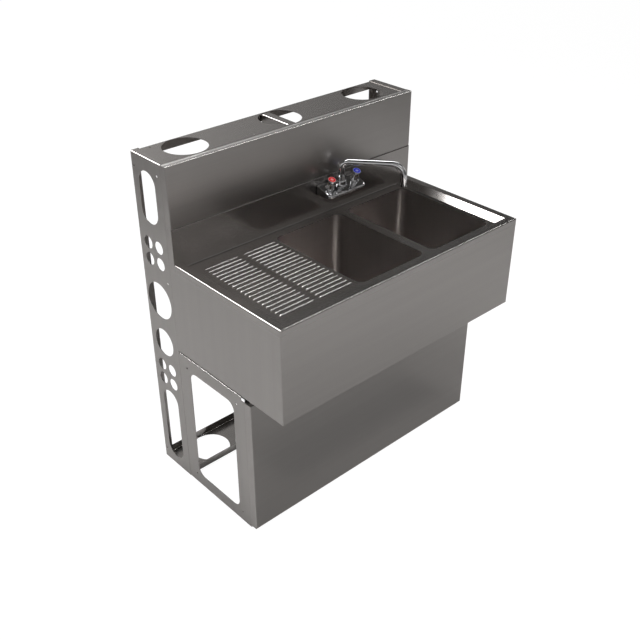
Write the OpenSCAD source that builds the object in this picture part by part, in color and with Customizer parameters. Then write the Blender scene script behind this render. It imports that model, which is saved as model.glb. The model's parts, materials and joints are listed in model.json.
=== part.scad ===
// Underbar sink with an insulated ice bin, a ribbed drainboard and a splash
// mounted faucet, carried by a folded steel chase and an open base frame.
// The shop frame below has X from the left side, Y from the back plane
// (negative towards the user) and Z from the floor. place() then puts the
// origin at the middle of the floor under the unit.

/* [Overall] */
// Width of the whole unit
unit_w = 914.4; // [880:1:1200]
// Depth from the back plane to the front apron
unit_d = 603; // [595:1:760]

/* [Sheet metal] */
// Thickness of the frame sheets
frame_t = 1.5; // [1:0.1:2]
// Thickness of the sink sheets
sink_t = 1.5; // [1:0.1:2]
// Outside radius of a folded edge
bend_r = 3; // [2.5:0.1:6]
// Width of a folded flange
flange_w = 25.4; // [22:0.1:32]
// Clearance around a piece that is set inside another
fit_gap = 0.3; // [0.2:0.05:0.5]

/* [Chase] */
// Depth of the chase side panels
chase_d = 139; // [136:1:150]
// Depth of the front skin of the chase
skin_d = 23.1; // [20:0.1:28]
// Height of the front skin of the chase above the backsplash
skin_h = 177; // [156:1:330]
// Distance of the cut-outs from the back plane
pattern_y = 67.5; // [64:0.5:70]
// Diameter of the large round cut-out
large_hole_d = 114.3; // [90:0.1:120]
// Height of the large round cut-out
large_hole_z = 610; // [600:1:630]
// Diameter of the middle round cut-out
middle_hole_d = 88.9; // [70:0.1:96]
// Height of the middle round cut-out
middle_hole_z = 468; // [460:1:476]
// Diameter of the small round cut-outs
small_hole_d = 38.1; // [30:0.1:42]
// Spacing of the small cut-outs
small_hole_pitch = 50.8; // [48:0.1:54]
// Height of the upper group of small cut-outs
upper_group_z = 761.5; // [745:1:775]
// Height of the lower group of small cut-outs
lower_group_z = 353.5; // [345:1:358]
// Width of the long cut-outs
slot_w = 76.2; // [60:0.1:80]
// Length of the upper long cut-out
upper_slot_len = 152.4; // [110:0.1:156]
// Drop of the upper long cut-out's middle below the chase top
upper_slot_drop = 114.4; // [108:1:120]
// Length of the lower long cut-out
lower_slot_len = 258; // [200:1:264]
// Height of the lower long cut-out's middle
lower_slot_z = 161; // [158:1:166]
// Diameter of the three round openings in the top and bottom plates
plate_hole_d = 127; // [90:1:130]
// Distance of the outer plate openings from the side of the unit
plate_hole_inset = 127; // [110:1:160]
// Distance of the divider's face to the left of the middle
divider_left = 17.5; // [10:0.5:25]

/* [Ganging holes] */
// Diameter of a bolt hole that joins two units side by side
gang_hole_d = 6.6; // [5:0.1:9]
// Distance of the upper chase hole below the top
gang_top_drop = 37.6; // [34:0.1:42]
// Distance of the lower holes above the floor
gang_foot_rise = 36; // [34:0.5:38]
// Distance of the rear chase holes from the back plane
gang_edge = 13; // [10:0.5:15]
// Distance of the front chase holes from the front of the panel
gang_front = 20; // [14:0.5:22]
// Height of the middle chase hole above the floor
gang_mid_z = 686; // [680:1:690]
// Distance of the base holes from the edges of the panel
gang_base_edge = 37.5; // [30:0.5:40]

/* [Base] */
// Height of the base side panels
base_h = 468.5; // [450:0.5:490]
// Depth of the base front skin
base_skin_d = 24.7; // [20:0.1:28]
// Height of the skin's lower edge above the floor
skin_toe = 9; // [5:0.5:20]
// Distance of the skin's upper edge below the base top
skin_drop = 10.5; // [6:0.5:20]
// Depth of the notch in the upper front corner of a base side
front_notch = 15; // [8:0.5:24]
// Height of the window above the floor
window_sill = 42; // [40:1:60]
// Distance of the window's upper edge below the base top
window_drop = 41.5; // [38:0.5:60]
// Distance of the window from the front and back of the panel
window_side = 51; // [48:1:60]
// Corner radius of the window
window_r = 28; // [15:1:40]
// Height of an angle rail
rail_h = 50.8; // [30:0.1:60]
// Depth of an angle rail
rail_d = 22; // [16:0.5:24]
// Clearance between the front rails and the drain of the sink
rail_gap = 5.1; // [2:0.1:100]

/* [Sink top] */
// Height of the sink's own backsplash
splash_h = 102.4; // [96:0.1:130]
// Height of the pads that carry the aprons on the base
seat_gap = 4.3; // [2.5:0.1:5.5]
// Width of the flat rim
rim_w = 25.4; // [20:0.1:30]
// Width of the bevel that leads down from the rim
bevel_w = 18; // [14:0.5:19]
// Drop of the deck below the rim
rim_drop = 17; // [10:0.5:20]
// Radius of the cove at the foot of the backsplash
cove_r = 4; // [3.5:0.5:20]
// Width of the turned lower edge of the aprons
apron_lip = 19; // [12:0.5:22]

/* [Drainboard] */
// Number of columns
rib_columns = 2; // [1:1:2]
// Distance between neighbouring ribs
rib_pitch = 17.46; // [14:0.01:24]
// Least distance of the outer ribs from the ends of the bowls
rib_margin = 20; // [15:0.5:40]
// Width of a rib
rib_w = 7; // [5:0.1:9]
// Height of a rib above the deck
rib_h = 3; // [2:0.1:3.4]
// Distance of the first column from the left side
rib_left = 60.4; // [56:0.1:70]
// Distance of the last column from the bowls
rib_right = 13; // [11:0.1:36]
// Distance between the columns
rib_column_gap = 21.2; // [16:0.1:24]

/* [Bowls] */
// Inside width of a bowl
bowl_w = 254; // [220:1:258]
// Inside depth of a bowl below the deck
bowl_depth = 254; // [180:1:254]
// Corner radius of a bowl
bowl_r = 25.4; // [20:0.1:60]
// Radius between the floor and the walls of a bowl
floor_r = 16; // [10:1:18]
// Distance of the right bowl from the right side
bowl_right = 56.4; // [52:0.1:70]
// Distance between the bowls
bowl_gap = 30; // [24:0.5:40]
// Distance of the bowls from the backsplash
bowl_back = 32; // [28:0.5:40]
// Distance of the bowls from the front apron
bowl_front = 53.3; // [50:0.1:110]
// Thickness of the ice bin's insulation
foam_t = 15; // [8:0.5:15]
// Height of the ice bin's casing above the lower edge of the aprons
bin_gap = 0.2; // [0:0.1:30]
// Thickness of the ice bin's outer casing
casing_t = 1.2; // [0.8:0.1:1.5]

/* [Sink drain] */
// Diameter of the hole in the bowl floor
drain_hole_d = 89; // [80:1:95]
// Diameter of the drain flange
drain_flange_d = 114; // [106:1:120]
// Thickness of the drain flange
drain_flange_t = 2; // [1.5:0.1:3]
// Outside diameter of the drain cup
drain_cup_d = 85; // [70:0.5:86]
// Depth of the drain cup below the bowl floor
drain_cup_h = 46; // [40:1:60]
// Wall of the drain cup
drain_wall = 2.5; // [2:0.1:4]
// Outside diameter of the drain's spigot
spigot_d = 47; // [44:0.5:48]
// Length of the spigot
spigot_h = 22; // [18:1:30]
// Outside diameter of the tailpiece
tail_d = 38.1; // [30:0.1:40]
// Wall of the tailpiece
tail_wall = 1.2; // [1:0.1:2]
// Length of the tailpiece below the spigot
tail_len = 100; // [60:1:150]
// Length of the tailpiece's sized lower end
tail_end_len = 60; // [30:1:90]
// Thickness of the drain gasket
drain_gasket_t = 3; // [2:0.5:4]
// Height of the drain's lock nut
drain_nut_h = 10; // [8:0.5:14]
// Diameter of the drain's lock nut
drain_nut_d = 112; // [104:1:118]

/* [Strainer basket] */
// Outside diameter of the basket's rim
basket_rim_d = 78; // [66:0.5:79]
// Depth of the basket below its rim
basket_h = 30; // [20:1:34]
// Wall of the basket
basket_t = 1; // [0.8:0.1:1.5]
// Number of holes in one ring of the basket floor
basket_holes = 12; // [6:1:14]
// Diameter of a hole in the basket floor
basket_hole_d = 5; // [3:0.5:6]
// Diameter of the lifting knob
basket_knob_d = 16; // [12:0.5:20]

/* [Ice bin drain] */
// Diameter of the ice drain's flange
ice_flange_d = 54; // [46:1:60]
// Thickness of the ice drain's flange
ice_flange_t = 2; // [1.5:0.1:3]
// Outside diameter of the ice drain's tube
ice_tube_d = 26.7; // [20:0.1:30]
// Wall of the ice drain's tube
ice_tube_wall = 2; // [1.5:0.1:3]
// Length of the ice drain's tube below the casing
ice_tube_len = 45; // [40:1:80]
// Length of the tube's turned end for a hose
ice_tip_len = 30; // [20:1:35]
// Height of the ice drain's nut
ice_nut_h = 9; // [6:0.5:12]
// Diameter across the ice drain's nut
ice_nut_d = 44; // [38:1:50]
// Diameter of a hole in the ice drain's grid
ice_grid_hole_d = 3.2; // [2:0.1:3.4]
// Number of holes in the grid's ring
ice_grid_holes = 6; // [4:1:8]

/* [Faucet body] */
// Height of the faucet's inlets above the rim
faucet_rise = 64; // [53:1:70]
// Distance between the two inlets
inlet_pitch = 101.6; // [98:0.1:104]
// Width of the faucet body
body_w = 150; // [144:1:160]
// Projection of the faucet body from its gasket
body_d = 60; // [54:1:66]
// Half height of the body at the wall
body_half_h = 17; // [15:0.5:20]
// Depth of the level shelf along the wall
shelf_d = 10; // [8:0.5:14]
// Drop of the sloping top from the shelf to the nose
top_drop = 18; // [14:0.5:20]
// Thickness of the nose
nose_h = 10; // [8:0.5:12]
// Radius of the body's front corners
body_corner_r = 14; // [8:0.5:18]
// Thickness of the wall gasket
faucet_gasket_t = 2; // [1:0.5:3]
// Outside diameter of an inlet shank
shank_d = 20.9; // [18:0.1:21.3]
// Bore of an inlet shank
shank_bore_d = 13; // [10:0.5:15]
// Length of a shank behind the gasket
shank_len = 48; // [44:1:56]
// Diameter of the plain end of a shank
shank_tip_d = 20.2; // [18:0.1:20.4]
// Length of the plain end of a shank
shank_tip_len = 26; // [20:1:30]
// Thickness of a shank washer
washer_t = 2; // [1:0.1:3]
// Outside diameter of a shank washer
washer_d = 38; // [32:0.5:42]
// Thickness of a shank nut
shank_nut_h = 9; // [6:0.5:12]
// Distance across the corners of a shank nut
shank_nut_d = 34; // [30:0.5:38]

/* [Spout] */
// Distance of the spout axis from the gasket
spout_out = 25; // [23:0.5:27]
// Outside diameter of the spout tube
spout_d = 20; // [16:0.5:21]
// Wall of the spout tube
spout_wall = 1.2; // [1:0.1:2]
// Height of the spout's level run above the inlets
spout_rise = 80; // [74:1:120]
// Distance from the swivel axis to the outlet
spout_reach = 186; // [150:1:240]
// Radius of the first bend
spout_bend_r = 22; // [18:1:24]
// Radius of the outlet bend
outlet_bend_r = 40; // [25:1:45]
// Length of the straight outlet below its bend
outlet_len = 28; // [15:1:40]
// Angle of the spout towards the user
spout_angle = 50; // [0:1:180]
// Diameter of the hub under the spout
hub_d = 32; // [30:0.5:34]
// Height of the hub above the inlets
hub_rise = 24; // [22:0.5:28]
// Distance across the corners of the spout nut
spout_nut_d = 34; // [32:0.5:36]
// Height of the spout nut
spout_nut_h = 17; // [12:0.5:20]
// Depth of the spout's seat in the body
spout_seat = 26; // [18:1:28]
// Thickness of the spout's seal ring
seal_ring_t = 3; // [2:0.1:3.2]

/* [Handles] */
// Distance of a handle's foot from the gasket
handle_out = 29; // [28:0.1:34]
// Height of a handle
handle_h = 33; // [28:0.5:38]
// Radius of a handle's skirt
skirt_r = 14; // [13:0.1:15]
// Radius of a handle's waist
waist_r = 8; // [7.5:0.1:9]
// Radius of a handle's top
crown_r = 14; // [13.2:0.1:15]
// Number of flutes around a handle
flute_count = 8; // [6:1:10]
// Radius of a flute
flute_r = 3; // [2:0.1:3.5]
// Radius of the coloured index button
index_r = 12; // [10:0.1:12.2]
// Thickness of the index button
index_t = 1.6; // [1:0.1:2]
// Radius of a valve stem
stem_r = 4; // [3:0.1:4.5]
// Radius of a bonnet nut to its corners
bonnet_r = 8.5; // [8:0.1:9]
// Height of a bonnet nut
bonnet_h = 6; // [4:0.5:7]
// Clearance under a handle's skirt
handle_float = 0.6; // [0.4:0.1:1]

/* [Hidden] */
$fn = 64;

// Overrun of every cut past the face that it leaves
cut_over = 1;
// Levels, each one resting on the level below it
apron_z = base_h + seat_gap;
casing_z = apron_z + bin_gap;
bowl_floor_z = casing_z + casing_t + foam_t + fit_gap + sink_t;
pan_z = bowl_floor_z + bowl_depth;
deck_z = pan_z + rim_drop;
splash_z = deck_z + splash_h;
unit_h = splash_z + skin_h;
faucet_z = deck_z + faucet_rise;
// Planes of the frame, with the front rails clear of the sink's drain
chase_front = -chase_d;
wall_y = chase_front - skin_d;
bowl_l = unit_d + wall_y - bowl_back - bowl_front;
bowl_y = wall_y - bowl_back - bowl_l / 2;
base_front = bowl_y - drain_cup_d / 2 - rail_gap - rail_d - frame_t;
base_d = chase_front - base_front;
base_face = base_front - base_skin_d;
// Levels and angles of the deck
bevel_angle = atan(rim_drop / bevel_w);
bevel_shift = sink_t * tan(bevel_angle / 2);
deck_front = -unit_d;
deck_low = pan_z - sink_t;
// Places of the bowls
sink_x = unit_w - bowl_right - bowl_w / 2;
ice_x = sink_x - bowl_w - bowl_gap;
// Ribs, which fill the deck between the left side and the bowls
ribs_w = ice_x - bowl_w / 2 - rib_left - rib_right;
rib_len = (ribs_w - (rib_columns - 1) * rib_column_gap) / rib_columns;
rib_count = 1 + floor((bowl_l - 2 * rib_margin) / rib_pitch);
// Pads between the base and the aprons
pad_len = 2 * flange_w;
pad_w = 3 * flange_w / 5;
// Bolts that join the aprons and the base to the chase
bolt_d = 6;
bolt_hole_d = bolt_d + 2 * fit_gap;
bolt_head_d = 11;
bolt_head_h = 4;
bolt_nut_h = 5;
bolt_thread_gap = 0.1;
bolt_end = 2;
bolt_x = (flange_w + frame_t) / 2;
bolt_levels = [
    base_h / 6, base_h * 5 / 6,
    apron_z + (deck_z - apron_z) / 5, apron_z + (deck_z - apron_z) * 4 / 5
];
// Screw holes in the top plate and the divider's flange
pilot_d = 5;
pilot_rear = 16.5;
pilot_front = 15.1;
pilot_outer_x = 51;
pilot_inner_x = 318;
divider_pilot = 21;
// Faucet axes in the shop frame
faucet_x = sink_x - (bowl_w + bowl_gap) / 2;
gasket_y = wall_y - faucet_gasket_t;
top_tilt = atan(top_drop / (body_d - shelf_d));
inlet_xs = [faucet_x - inlet_pitch / 2, faucet_x + inlet_pitch / 2];
spout_y = gasket_y - spout_out;
spout_bore_r = spout_d / 2 + fit_gap;
stem_bore_r = stem_r + fit_gap;
shank_hole_d = shank_d + 4 * fit_gap;
gasket_edge = 3;
// Details of the handles, shared by both
skirt_h = handle_h / 8;
crown_h = handle_h / 5;
handle_wall = 2;
cavity_r = bonnet_r + 2 * fit_gap;
cavity_h = bonnet_h + 2 * handle_float;
crown_seat = index_t + fit_gap;
stem_end = handle_h * 0.62;
stem_depth = 9;
screw_head_r = 3.4;
screw_head_h = 2.4;
screw_r = 1.6;
screw_len = 8;

// Moves a child from the shop frame to the frame of the part
module place() translate([-unit_w / 2, unit_d / 2, 0]) children();

// Extrudes a drawing of the Y and Z axes along X
module extrude_x(length) rotate([90, 0, 90]) linear_extrude(length) children();

// Extrudes a drawing of the X and Z axes from a Y plane towards the back
module extrude_y(length) translate([0, length, 0]) rotate([90, 0, 0]) linear_extrude(length) children();

// Copies a left-hand piece to the right side
module right_hand() translate([unit_w, 0, 0]) mirror([1, 0, 0]) children();

// Rectangle in the middle of the drawing with four round corners
module round_rect(width, length, r) {
    square([width - 2 * r, length], center = true);
    square([width, length - 2 * r], center = true);
    for (x = [-1, 1], y = [-1, 1])
        translate([x * (width / 2 - r), y * (length / 2 - r)]) circle(r);
}

// Rectangle from the origin with round corners where the list says so,
// counted from the origin and against the clock
module soft_rect(width, height, r, soft) {
    polygon(concat(
        soft[0] ? [[0, r], [r, 0]] : [[0, 0]],
        soft[1] ? [[width - r, 0], [width, r]] : [[width, 0]],
        soft[2] ? [[width, height - r], [width - r, height]] : [[width, height]],
        soft[3] ? [[r, height], [0, height - r]] : [[0, height]]
    ));
    if (soft[0]) translate([r, r]) circle(r);
    if (soft[1]) translate([width - r, r]) circle(r);
    if (soft[2]) translate([width - r, height - r]) circle(r);
    if (soft[3]) translate([r, height - r]) circle(r);
}

// Block with folded edges. Each argument after the radius tells which edges
// are round: those along Z, then along X, then along Y, each as soft_rect
// counts the corners of that view.
module folded_block(size, r, along_z, along_x, along_y) {
    intersection() {
        linear_extrude(size[2]) soft_rect(size[0], size[1], r, along_z);
        extrude_x(size[0]) soft_rect(size[1], size[2], r, along_x);
        extrude_y(size[1]) soft_rect(size[0], size[2], r, along_y);
    }
}

// Side panel with its web on the plane x = 0: two upright flanges, and
// flanges above and below where they are asked for
module side_panel(depth, height, top, bottom) {
    lower = bottom ? frame_t : -cut_over;
    upper = top ? frame_t : -cut_over;
    ends = [true, false, false, true];
    folds = [bottom, false, false, top];
    none = [false, false, false, false];
    difference() {
        folded_block([flange_w, depth, height], bend_r, ends, none, folds);
        translate([frame_t, frame_t, lower]) folded_block(
            [flange_w, depth - 2 * frame_t, height - lower - upper],
            bend_r - frame_t, ends, none, folds);
    }
}

// Long hole with round ends, upright in the drawing
module obround(width, length) {
    square([width, length - width], center = true);
    for (z = [-1, 1]) translate([0, z * (length - width) / 2]) circle(d = width);
}

// Two by two group of small cut-outs
module small_group() {
    for (y = [-1, 1], z = [-1, 1])
        translate([y * small_hole_pitch / 2, z * small_hole_pitch / 2])
            circle(d = small_hole_d);
}

// Cut-outs that pass pipes through the chase panels
module pipe_holes() {
    translate([-pattern_y, 0]) {
        translate([0, unit_h - upper_slot_drop]) obround(slot_w, upper_slot_len);
        translate([0, upper_group_z]) small_group();
        translate([0, large_hole_z]) circle(d = large_hole_d);
        translate([0, middle_hole_z]) circle(d = middle_hole_d);
        translate([0, lower_group_z]) small_group();
        translate([0, lower_slot_z]) obround(slot_w, lower_slot_len);
    }
}

// Bolt holes at the corners of the chase side
module chase_gang_holes() {
    for (y = [-gang_edge, chase_front + gang_front])
        translate([y, unit_h - gang_top_drop]) circle(d = gang_hole_d);
    translate([-gang_edge, gang_foot_rise]) circle(d = gang_hole_d);
    translate([chase_front + gang_front, gang_mid_z]) circle(d = gang_hole_d);
}

// Bolt holes round the window of the base side
module base_gang_holes() {
    for (y = [gang_base_edge, base_d - gang_base_edge])
        for (z = [gang_foot_rise, base_h - gang_foot_rise])
            translate([chase_front - y, z]) circle(d = gang_hole_d);
}

// Bolt holes through a flange on the front plane of the chase
module flange_bolt_holes(levels) {
    for (z = levels)
        translate([bolt_x, chase_front - cut_over - 2 * frame_t, z])
            rotate([-90, 0, 0])
                cylinder(d = bolt_hole_d, h = 4 * frame_t + 2 * cut_over, $fn = 32);
}

// Chase side panel with its rear, front and top flanges
module chase_side() {
    difference() {
        translate([0, chase_front, 0]) side_panel(chase_d, unit_h, true, false);
        translate([-cut_over, 0, 0]) extrude_x(frame_t + 2 * cut_over) {
            pipe_holes();
            chase_gang_holes();
        }
        flange_bolt_holes(bolt_levels);
    }
}

module chase_side_left() color("darkgray") place() chase_side();
module chase_side_right() color("darkgray") place() right_hand() chase_side();

// Upright divider between the two bays, folded towards the right
module chase_divider() {
    inset = frame_t + bend_r;
    rise = unit_h - 3 * frame_t;
    left = unit_w / 2 - divider_left;
    color("gray") place() difference() {
        translate([left, chase_front + inset, frame_t])
            side_panel(chase_d - 2 * inset, rise, true, true);
        translate([left - cut_over, 0, 0]) extrude_x(frame_t + 2 * cut_over) pipe_holes();
        translate([left + flange_w / 2, chase_front + divider_pilot, unit_h - 4 * frame_t])
            cylinder(d = pilot_d, h = 4 * frame_t);
    }
}

// Middle of each round opening along the chase
plate_xs = [plate_hole_inset, unit_w / 2, unit_w - plate_hole_inset];

// Shallow tray that closes one end of the chase, open side up
module chase_tray() {
    size = [unit_w - 2 * frame_t, chase_d - 2 * frame_t, flange_w];
    inner = size - [2 * frame_t, 2 * frame_t, 0];
    all = [true, true, true, true];
    low = [true, true, false, false];
    difference() {
        translate([frame_t, chase_front + frame_t, 0]) difference() {
            folded_block(size, bend_r, all, low, low);
            translate([frame_t, frame_t, frame_t])
                folded_block(inner, bend_r - frame_t, all, low, low);
        }
        for (x = plate_xs) translate([x, chase_front / 2, -cut_over])
            cylinder(d = plate_hole_d, h = frame_t + 2 * cut_over, $fn = 96);
    }
}

module chase_top_plate() {
    color("darkgray") place() difference() {
        translate([0, 0, unit_h - frame_t]) mirror([0, 0, 1]) chase_tray();
        for (x = [pilot_outer_x, unit_w - pilot_outer_x])
            translate([x, -pilot_rear, unit_h - 3 * frame_t]) cylinder(d = pilot_d, h = 3 * frame_t);
        for (x = [pilot_inner_x, unit_w - pilot_inner_x])
            translate([x, chase_front + pilot_front, unit_h - 3 * frame_t])
                cylinder(d = pilot_d, h = 3 * frame_t);
    }
}

module chase_bottom_plate() color("dimgray") place() chase_tray();

// Shallow pan with four turned edges that stands in front of a frame
module skin(height, depth) {
    size = [unit_w, depth, height];
    inner = size - [2 * frame_t, 0, 2 * frame_t];
    sides = [true, true, false, false];
    ends = [true, false, false, true];
    none = [false, false, false, false];
    difference() {
        folded_block(size, bend_r, sides, ends, none);
        translate([frame_t, frame_t, frame_t])
            folded_block(inner, bend_r - frame_t, sides, ends, none);
    }
}

module chase_front_skin() {
    color("gray") place() translate([0, wall_y, splash_z]) skin(unit_h - splash_z, skin_d);
}

module base_front_skin() {
    color("gray") place()
        translate([0, base_face, skin_toe]) skin(base_h - skin_drop - skin_toe, base_skin_d);
}

// Base side panel with its window and its flanges on all four edges
module base_side() {
    window_h = base_h - window_sill - window_drop;
    difference() {
        translate([0, base_front, 0]) side_panel(base_d, base_h, true, true);
        translate([-cut_over, 0, 0]) extrude_x(frame_t + 2 * cut_over) {
            translate([(chase_front + base_front) / 2, window_sill + window_h / 2])
                round_rect(base_d - 2 * window_side, window_h, window_r);
            base_gang_holes();
        }
        translate([-cut_over, base_front - cut_over, base_h - skin_drop])
            cube([flange_w + 2 * cut_over, front_notch + cut_over, skin_drop + cut_over]);
        flange_bolt_holes([bolt_levels[0], bolt_levels[1]]);
    }
}

module base_side_left() color("darkgray") place() base_side();
module base_side_right() color("darkgray") place() right_hand() base_side();

// Angle rail between the base sides, with an upright and a level leg
module rail() {
    fold = [true, false, false, false];
    extrude_x(unit_w - 2 * bend_r) difference() {
        soft_rect(rail_d, rail_h, bend_r, fold);
        translate([frame_t, frame_t]) soft_rect(rail_d, rail_h, bend_r - frame_t, fold);
    }
}

module base_rail_front_top() {
    color("silver") place()
        translate([bend_r, base_front + frame_t, base_h - frame_t]) mirror([0, 0, 1]) rail();
}

module base_rail_front_bottom() {
    color("silver") place() translate([bend_r, base_front + frame_t, frame_t]) rail();
}

module base_rail_rear_top() {
    color("silver") place()
        translate([bend_r, chase_front - frame_t - bolt_head_h - fit_gap, base_h - frame_t])
            mirror([0, 1, 0]) mirror([0, 0, 1]) rail();
}

// Runs a child at each bolt of the chase's front flanges, both sides
module at_frame_bolts() {
    for (z = bolt_levels, x = [bolt_x, unit_w - bolt_x])
        translate([x, chase_front, z]) children();
}

// Hexagon head in front of the outer flange and a shank through both
module frame_bolts() {
    color("silver") place() at_frame_bolts() rotate([-90, 0, 0]) {
        translate([0, 0, -frame_t - bolt_head_h]) cylinder(d = bolt_head_d, h = bolt_head_h, $fn = 6);
        translate([0, 0, -frame_t - bolt_head_h / 2])
            cylinder(d = bolt_d, h = bolt_head_h / 2 + 2 * frame_t + bolt_nut_h + bolt_end, $fn = 32);
    }
}

module frame_nuts() {
    color("silver") place() at_frame_bolts() rotate([-90, 0, 0])
        translate([0, 0, frame_t]) difference() {
            cylinder(d = bolt_head_d, h = bolt_nut_h, $fn = 6);
            translate([0, 0, -cut_over])
                cylinder(d = bolt_d + 2 * bolt_thread_gap, h = bolt_nut_h + 2 * cut_over, $fn = 32);
        }
}

// Pads that carry the sink on the base, two on each side
module seat_pads() {
    color("black") place()
        for (x = [bend_r, unit_w - bend_r - pad_w])
            for (y = [base_front + pad_len, chase_front - 2 * pad_len])
                translate([x, y, base_h]) cube([pad_w, pad_len, seat_gap]);
}

// Section of the deck along Y: the metal lies below this line. The argument
// is the distance below the visible surface.
module deck_section_y(depth) {
    over = depth == 0 ? 0 : cut_over;
    shift = depth == 0 ? 0 : bevel_shift;
    r = cove_r + depth;
    polygon([
        [deck_front - over, deck_low - over], [deck_front - over, deck_z - depth],
        [deck_front + rim_w - shift, deck_z - depth],
        [deck_front + rim_w + bevel_w - shift, pan_z - depth],
        [wall_y + depth, pan_z - depth], [wall_y + depth, splash_z - bend_r],
        [wall_y + bend_r, splash_z - depth], [chase_front + over, splash_z - depth],
        [chase_front + over, deck_low - over]
    ]);
    translate([wall_y + bend_r, splash_z - bend_r]) circle(bend_r - depth);
    translate([wall_y - cove_r, pan_z + cove_r]) difference() {
        translate([0, -r]) square([r, r]);
        circle(r, $fn = 96);
    }
}

// Section of the deck along X with a bevel at each side
module deck_section_x(depth) {
    over = depth == 0 ? 0 : cut_over;
    shift = depth == 0 ? 0 : bevel_shift;
    polygon([
        [-over, deck_low - over], [-over, deck_z - depth], [rim_w - shift, deck_z - depth],
        [rim_w + bevel_w - shift, pan_z - depth],
        [unit_w - rim_w - bevel_w + shift, pan_z - depth],
        [unit_w - rim_w + shift, deck_z - depth], [unit_w + over, deck_z - depth],
        [unit_w + over, deck_low - over]
    ]);
}

// Block of the sink top with its folded outer edges
module deck_block(depth) {
    over = depth == 0 ? 0 : cut_over;
    r = bend_r - depth;
    run = wall_y + sink_t - deck_front;
    edge_w = unit_w - 2 * depth;
    height = deck_z - depth - deck_low + over;
    union() {
        intersection() {
            union() {
                translate([-over, 0, 0]) extrude_x(unit_w + 2 * over) deck_section_y(depth);
                translate([0, deck_front - over, 0]) extrude_y(run + over) deck_section_x(depth);
            }
            translate([depth, deck_front + depth, deck_low - over]) folded_block(
                [edge_w, run + bend_r, height], r,
                [true, true, false, false], [false, false, false, true], [false, false, true, true]);
        }
        intersection() {
            translate([-over, 0, 0]) extrude_x(unit_w + 2 * over) deck_section_y(depth);
            translate([-over, wall_y + depth, deck_low - over])
                cube([unit_w + 2 * over, chase_front + over - wall_y - depth, splash_z - deck_low + over]);
        }
        intersection() {
            translate([depth, 0, 0]) extrude_x(edge_w) deck_section_y(depth);
            translate([depth, wall_y - cove_r, pan_z])
                cube([edge_w, cove_r + depth, 2 * cove_r]);
        }
    }
}

// One rib of the drainboard: a bar with round ends and a round top, rooted in the sheet
module rib() {
    r = (rib_w * rib_w / 4 + rib_h * rib_h) / (2 * rib_h);
    end = rib_w / 2;
    intersection() {
        translate([0, 0, rib_h - r]) {
            translate([end, 0, 0]) rotate([0, 90, 0]) cylinder(r = r, h = rib_len - 2 * end, $fn = 16);
            for (x = [end, rib_len - end]) translate([x, 0, 0]) sphere(r, $fn = 16);
        }
        translate([0, -rib_w / 2, -sink_t / 2]) cube([rib_len, rib_w, rib_h + sink_t / 2]);
    }
}

// All ribs, in columns on the deck to the left of the bowls
module ribs() {
    first = bowl_y - (rib_count - 1) * rib_pitch / 2;
    for (c = [0 : rib_columns - 1], i = [0 : rib_count - 1])
        translate([rib_left + c * (rib_len + rib_column_gap), first + i * rib_pitch, pan_z]) rib();
}

// Deck with its raised rim, cove and backsplash, pierced for the bowls
module deck_pan() {
    color("dimgray") place() {
        difference() {
            deck_block(0);
            deck_block(sink_t);
            for (x = [sink_x, ice_x]) translate([x, bowl_y, deck_low - cut_over])
                linear_extrude(sink_t + 2 * cut_over) round_rect(bowl_w, bowl_l, bowl_r);
            for (x = inlet_xs) translate([x, wall_y - cut_over, faucet_z])
                rotate([-90, 0, 0]) cylinder(d = shank_hole_d, h = sink_t + 2 * cut_over);
        }
        ribs();
    }
}

// Full width front apron with its folded corners and lower edge
module apron_front() {
    size = [unit_w, apron_lip, deck_low - apron_z];
    inner = size - [2 * sink_t, 0, 0];
    front = [true, true, false, false];
    lower = [true, false, false, false];
    color("gray") place() translate([0, deck_front, apron_z]) difference() {
        folded_block(size, bend_r, front, lower, front);
        translate([sink_t, sink_t, sink_t])
            folded_block(inner, bend_r - sink_t, front, lower, front);
    }
}

// Side apron with its ear beside the backsplash and its rear flange
module apron_side() {
    front = deck_front + apron_lip;
    run = chase_front - front;
    rise = splash_z - sink_t - apron_z;
    lower = [true, false, false, false];
    difference() {
        union() {
            difference() {
                intersection() {
                    extrude_x(apron_lip) polygon([
                        [front, apron_z], [front, deck_low], [wall_y + sink_t, deck_low],
                        [wall_y + sink_t, splash_z - bend_r], [wall_y + bend_r, splash_z - sink_t],
                        [chase_front, splash_z - sink_t], [chase_front, apron_z]
                    ]);
                    translate([0, front, apron_z]) extrude_y(run)
                        soft_rect(apron_lip, rise, bend_r, lower);
                }
                translate([sink_t, front - cut_over, apron_z + sink_t])
                    extrude_y(run + 2 * cut_over) soft_rect(apron_lip, rise, bend_r - sink_t, lower);
            }
            translate([sink_t, chase_front - sink_t, apron_z + bend_r])
                cube([flange_w - sink_t, sink_t, deck_low - apron_z - bend_r]);
        }
        flange_bolt_holes([bolt_levels[2], bolt_levels[3]]);
    }
}

module apron_left() color("darkgray") place() apron_side();
module apron_right() color("darkgray") place() right_hand() apron_side();

// Solid of a bowl, standing on z = 0 with a round edge round its floor
module tub(width, length, height, r, edge_r) {
    translate([0, 0, edge_r]) linear_extrude(height - edge_r) round_rect(width, length, r);
    linear_extrude(height) round_rect(width - 2 * edge_r, length - 2 * edge_r, r - edge_r);
    for (x = [-1, 1]) translate([x * (width / 2 - edge_r), 0, edge_r])
        rotate([90, 0, 0]) cylinder(r = edge_r, h = length - 2 * r, center = true);
    for (y = [-1, 1]) translate([0, y * (length / 2 - edge_r), edge_r])
        rotate([0, 90, 0]) cylinder(r = edge_r, h = width - 2 * r, center = true);
    for (x = [-1, 1], y = [-1, 1])
        translate([x * (width / 2 - r), y * (length / 2 - r), edge_r]) rotate_extrude() {
            translate([0, -edge_r]) square([r - edge_r, edge_r]);
            intersection() {
                translate([r - edge_r, 0]) circle(edge_r);
                translate([0, -edge_r]) square([r, edge_r]);
            }
        }
}

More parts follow.
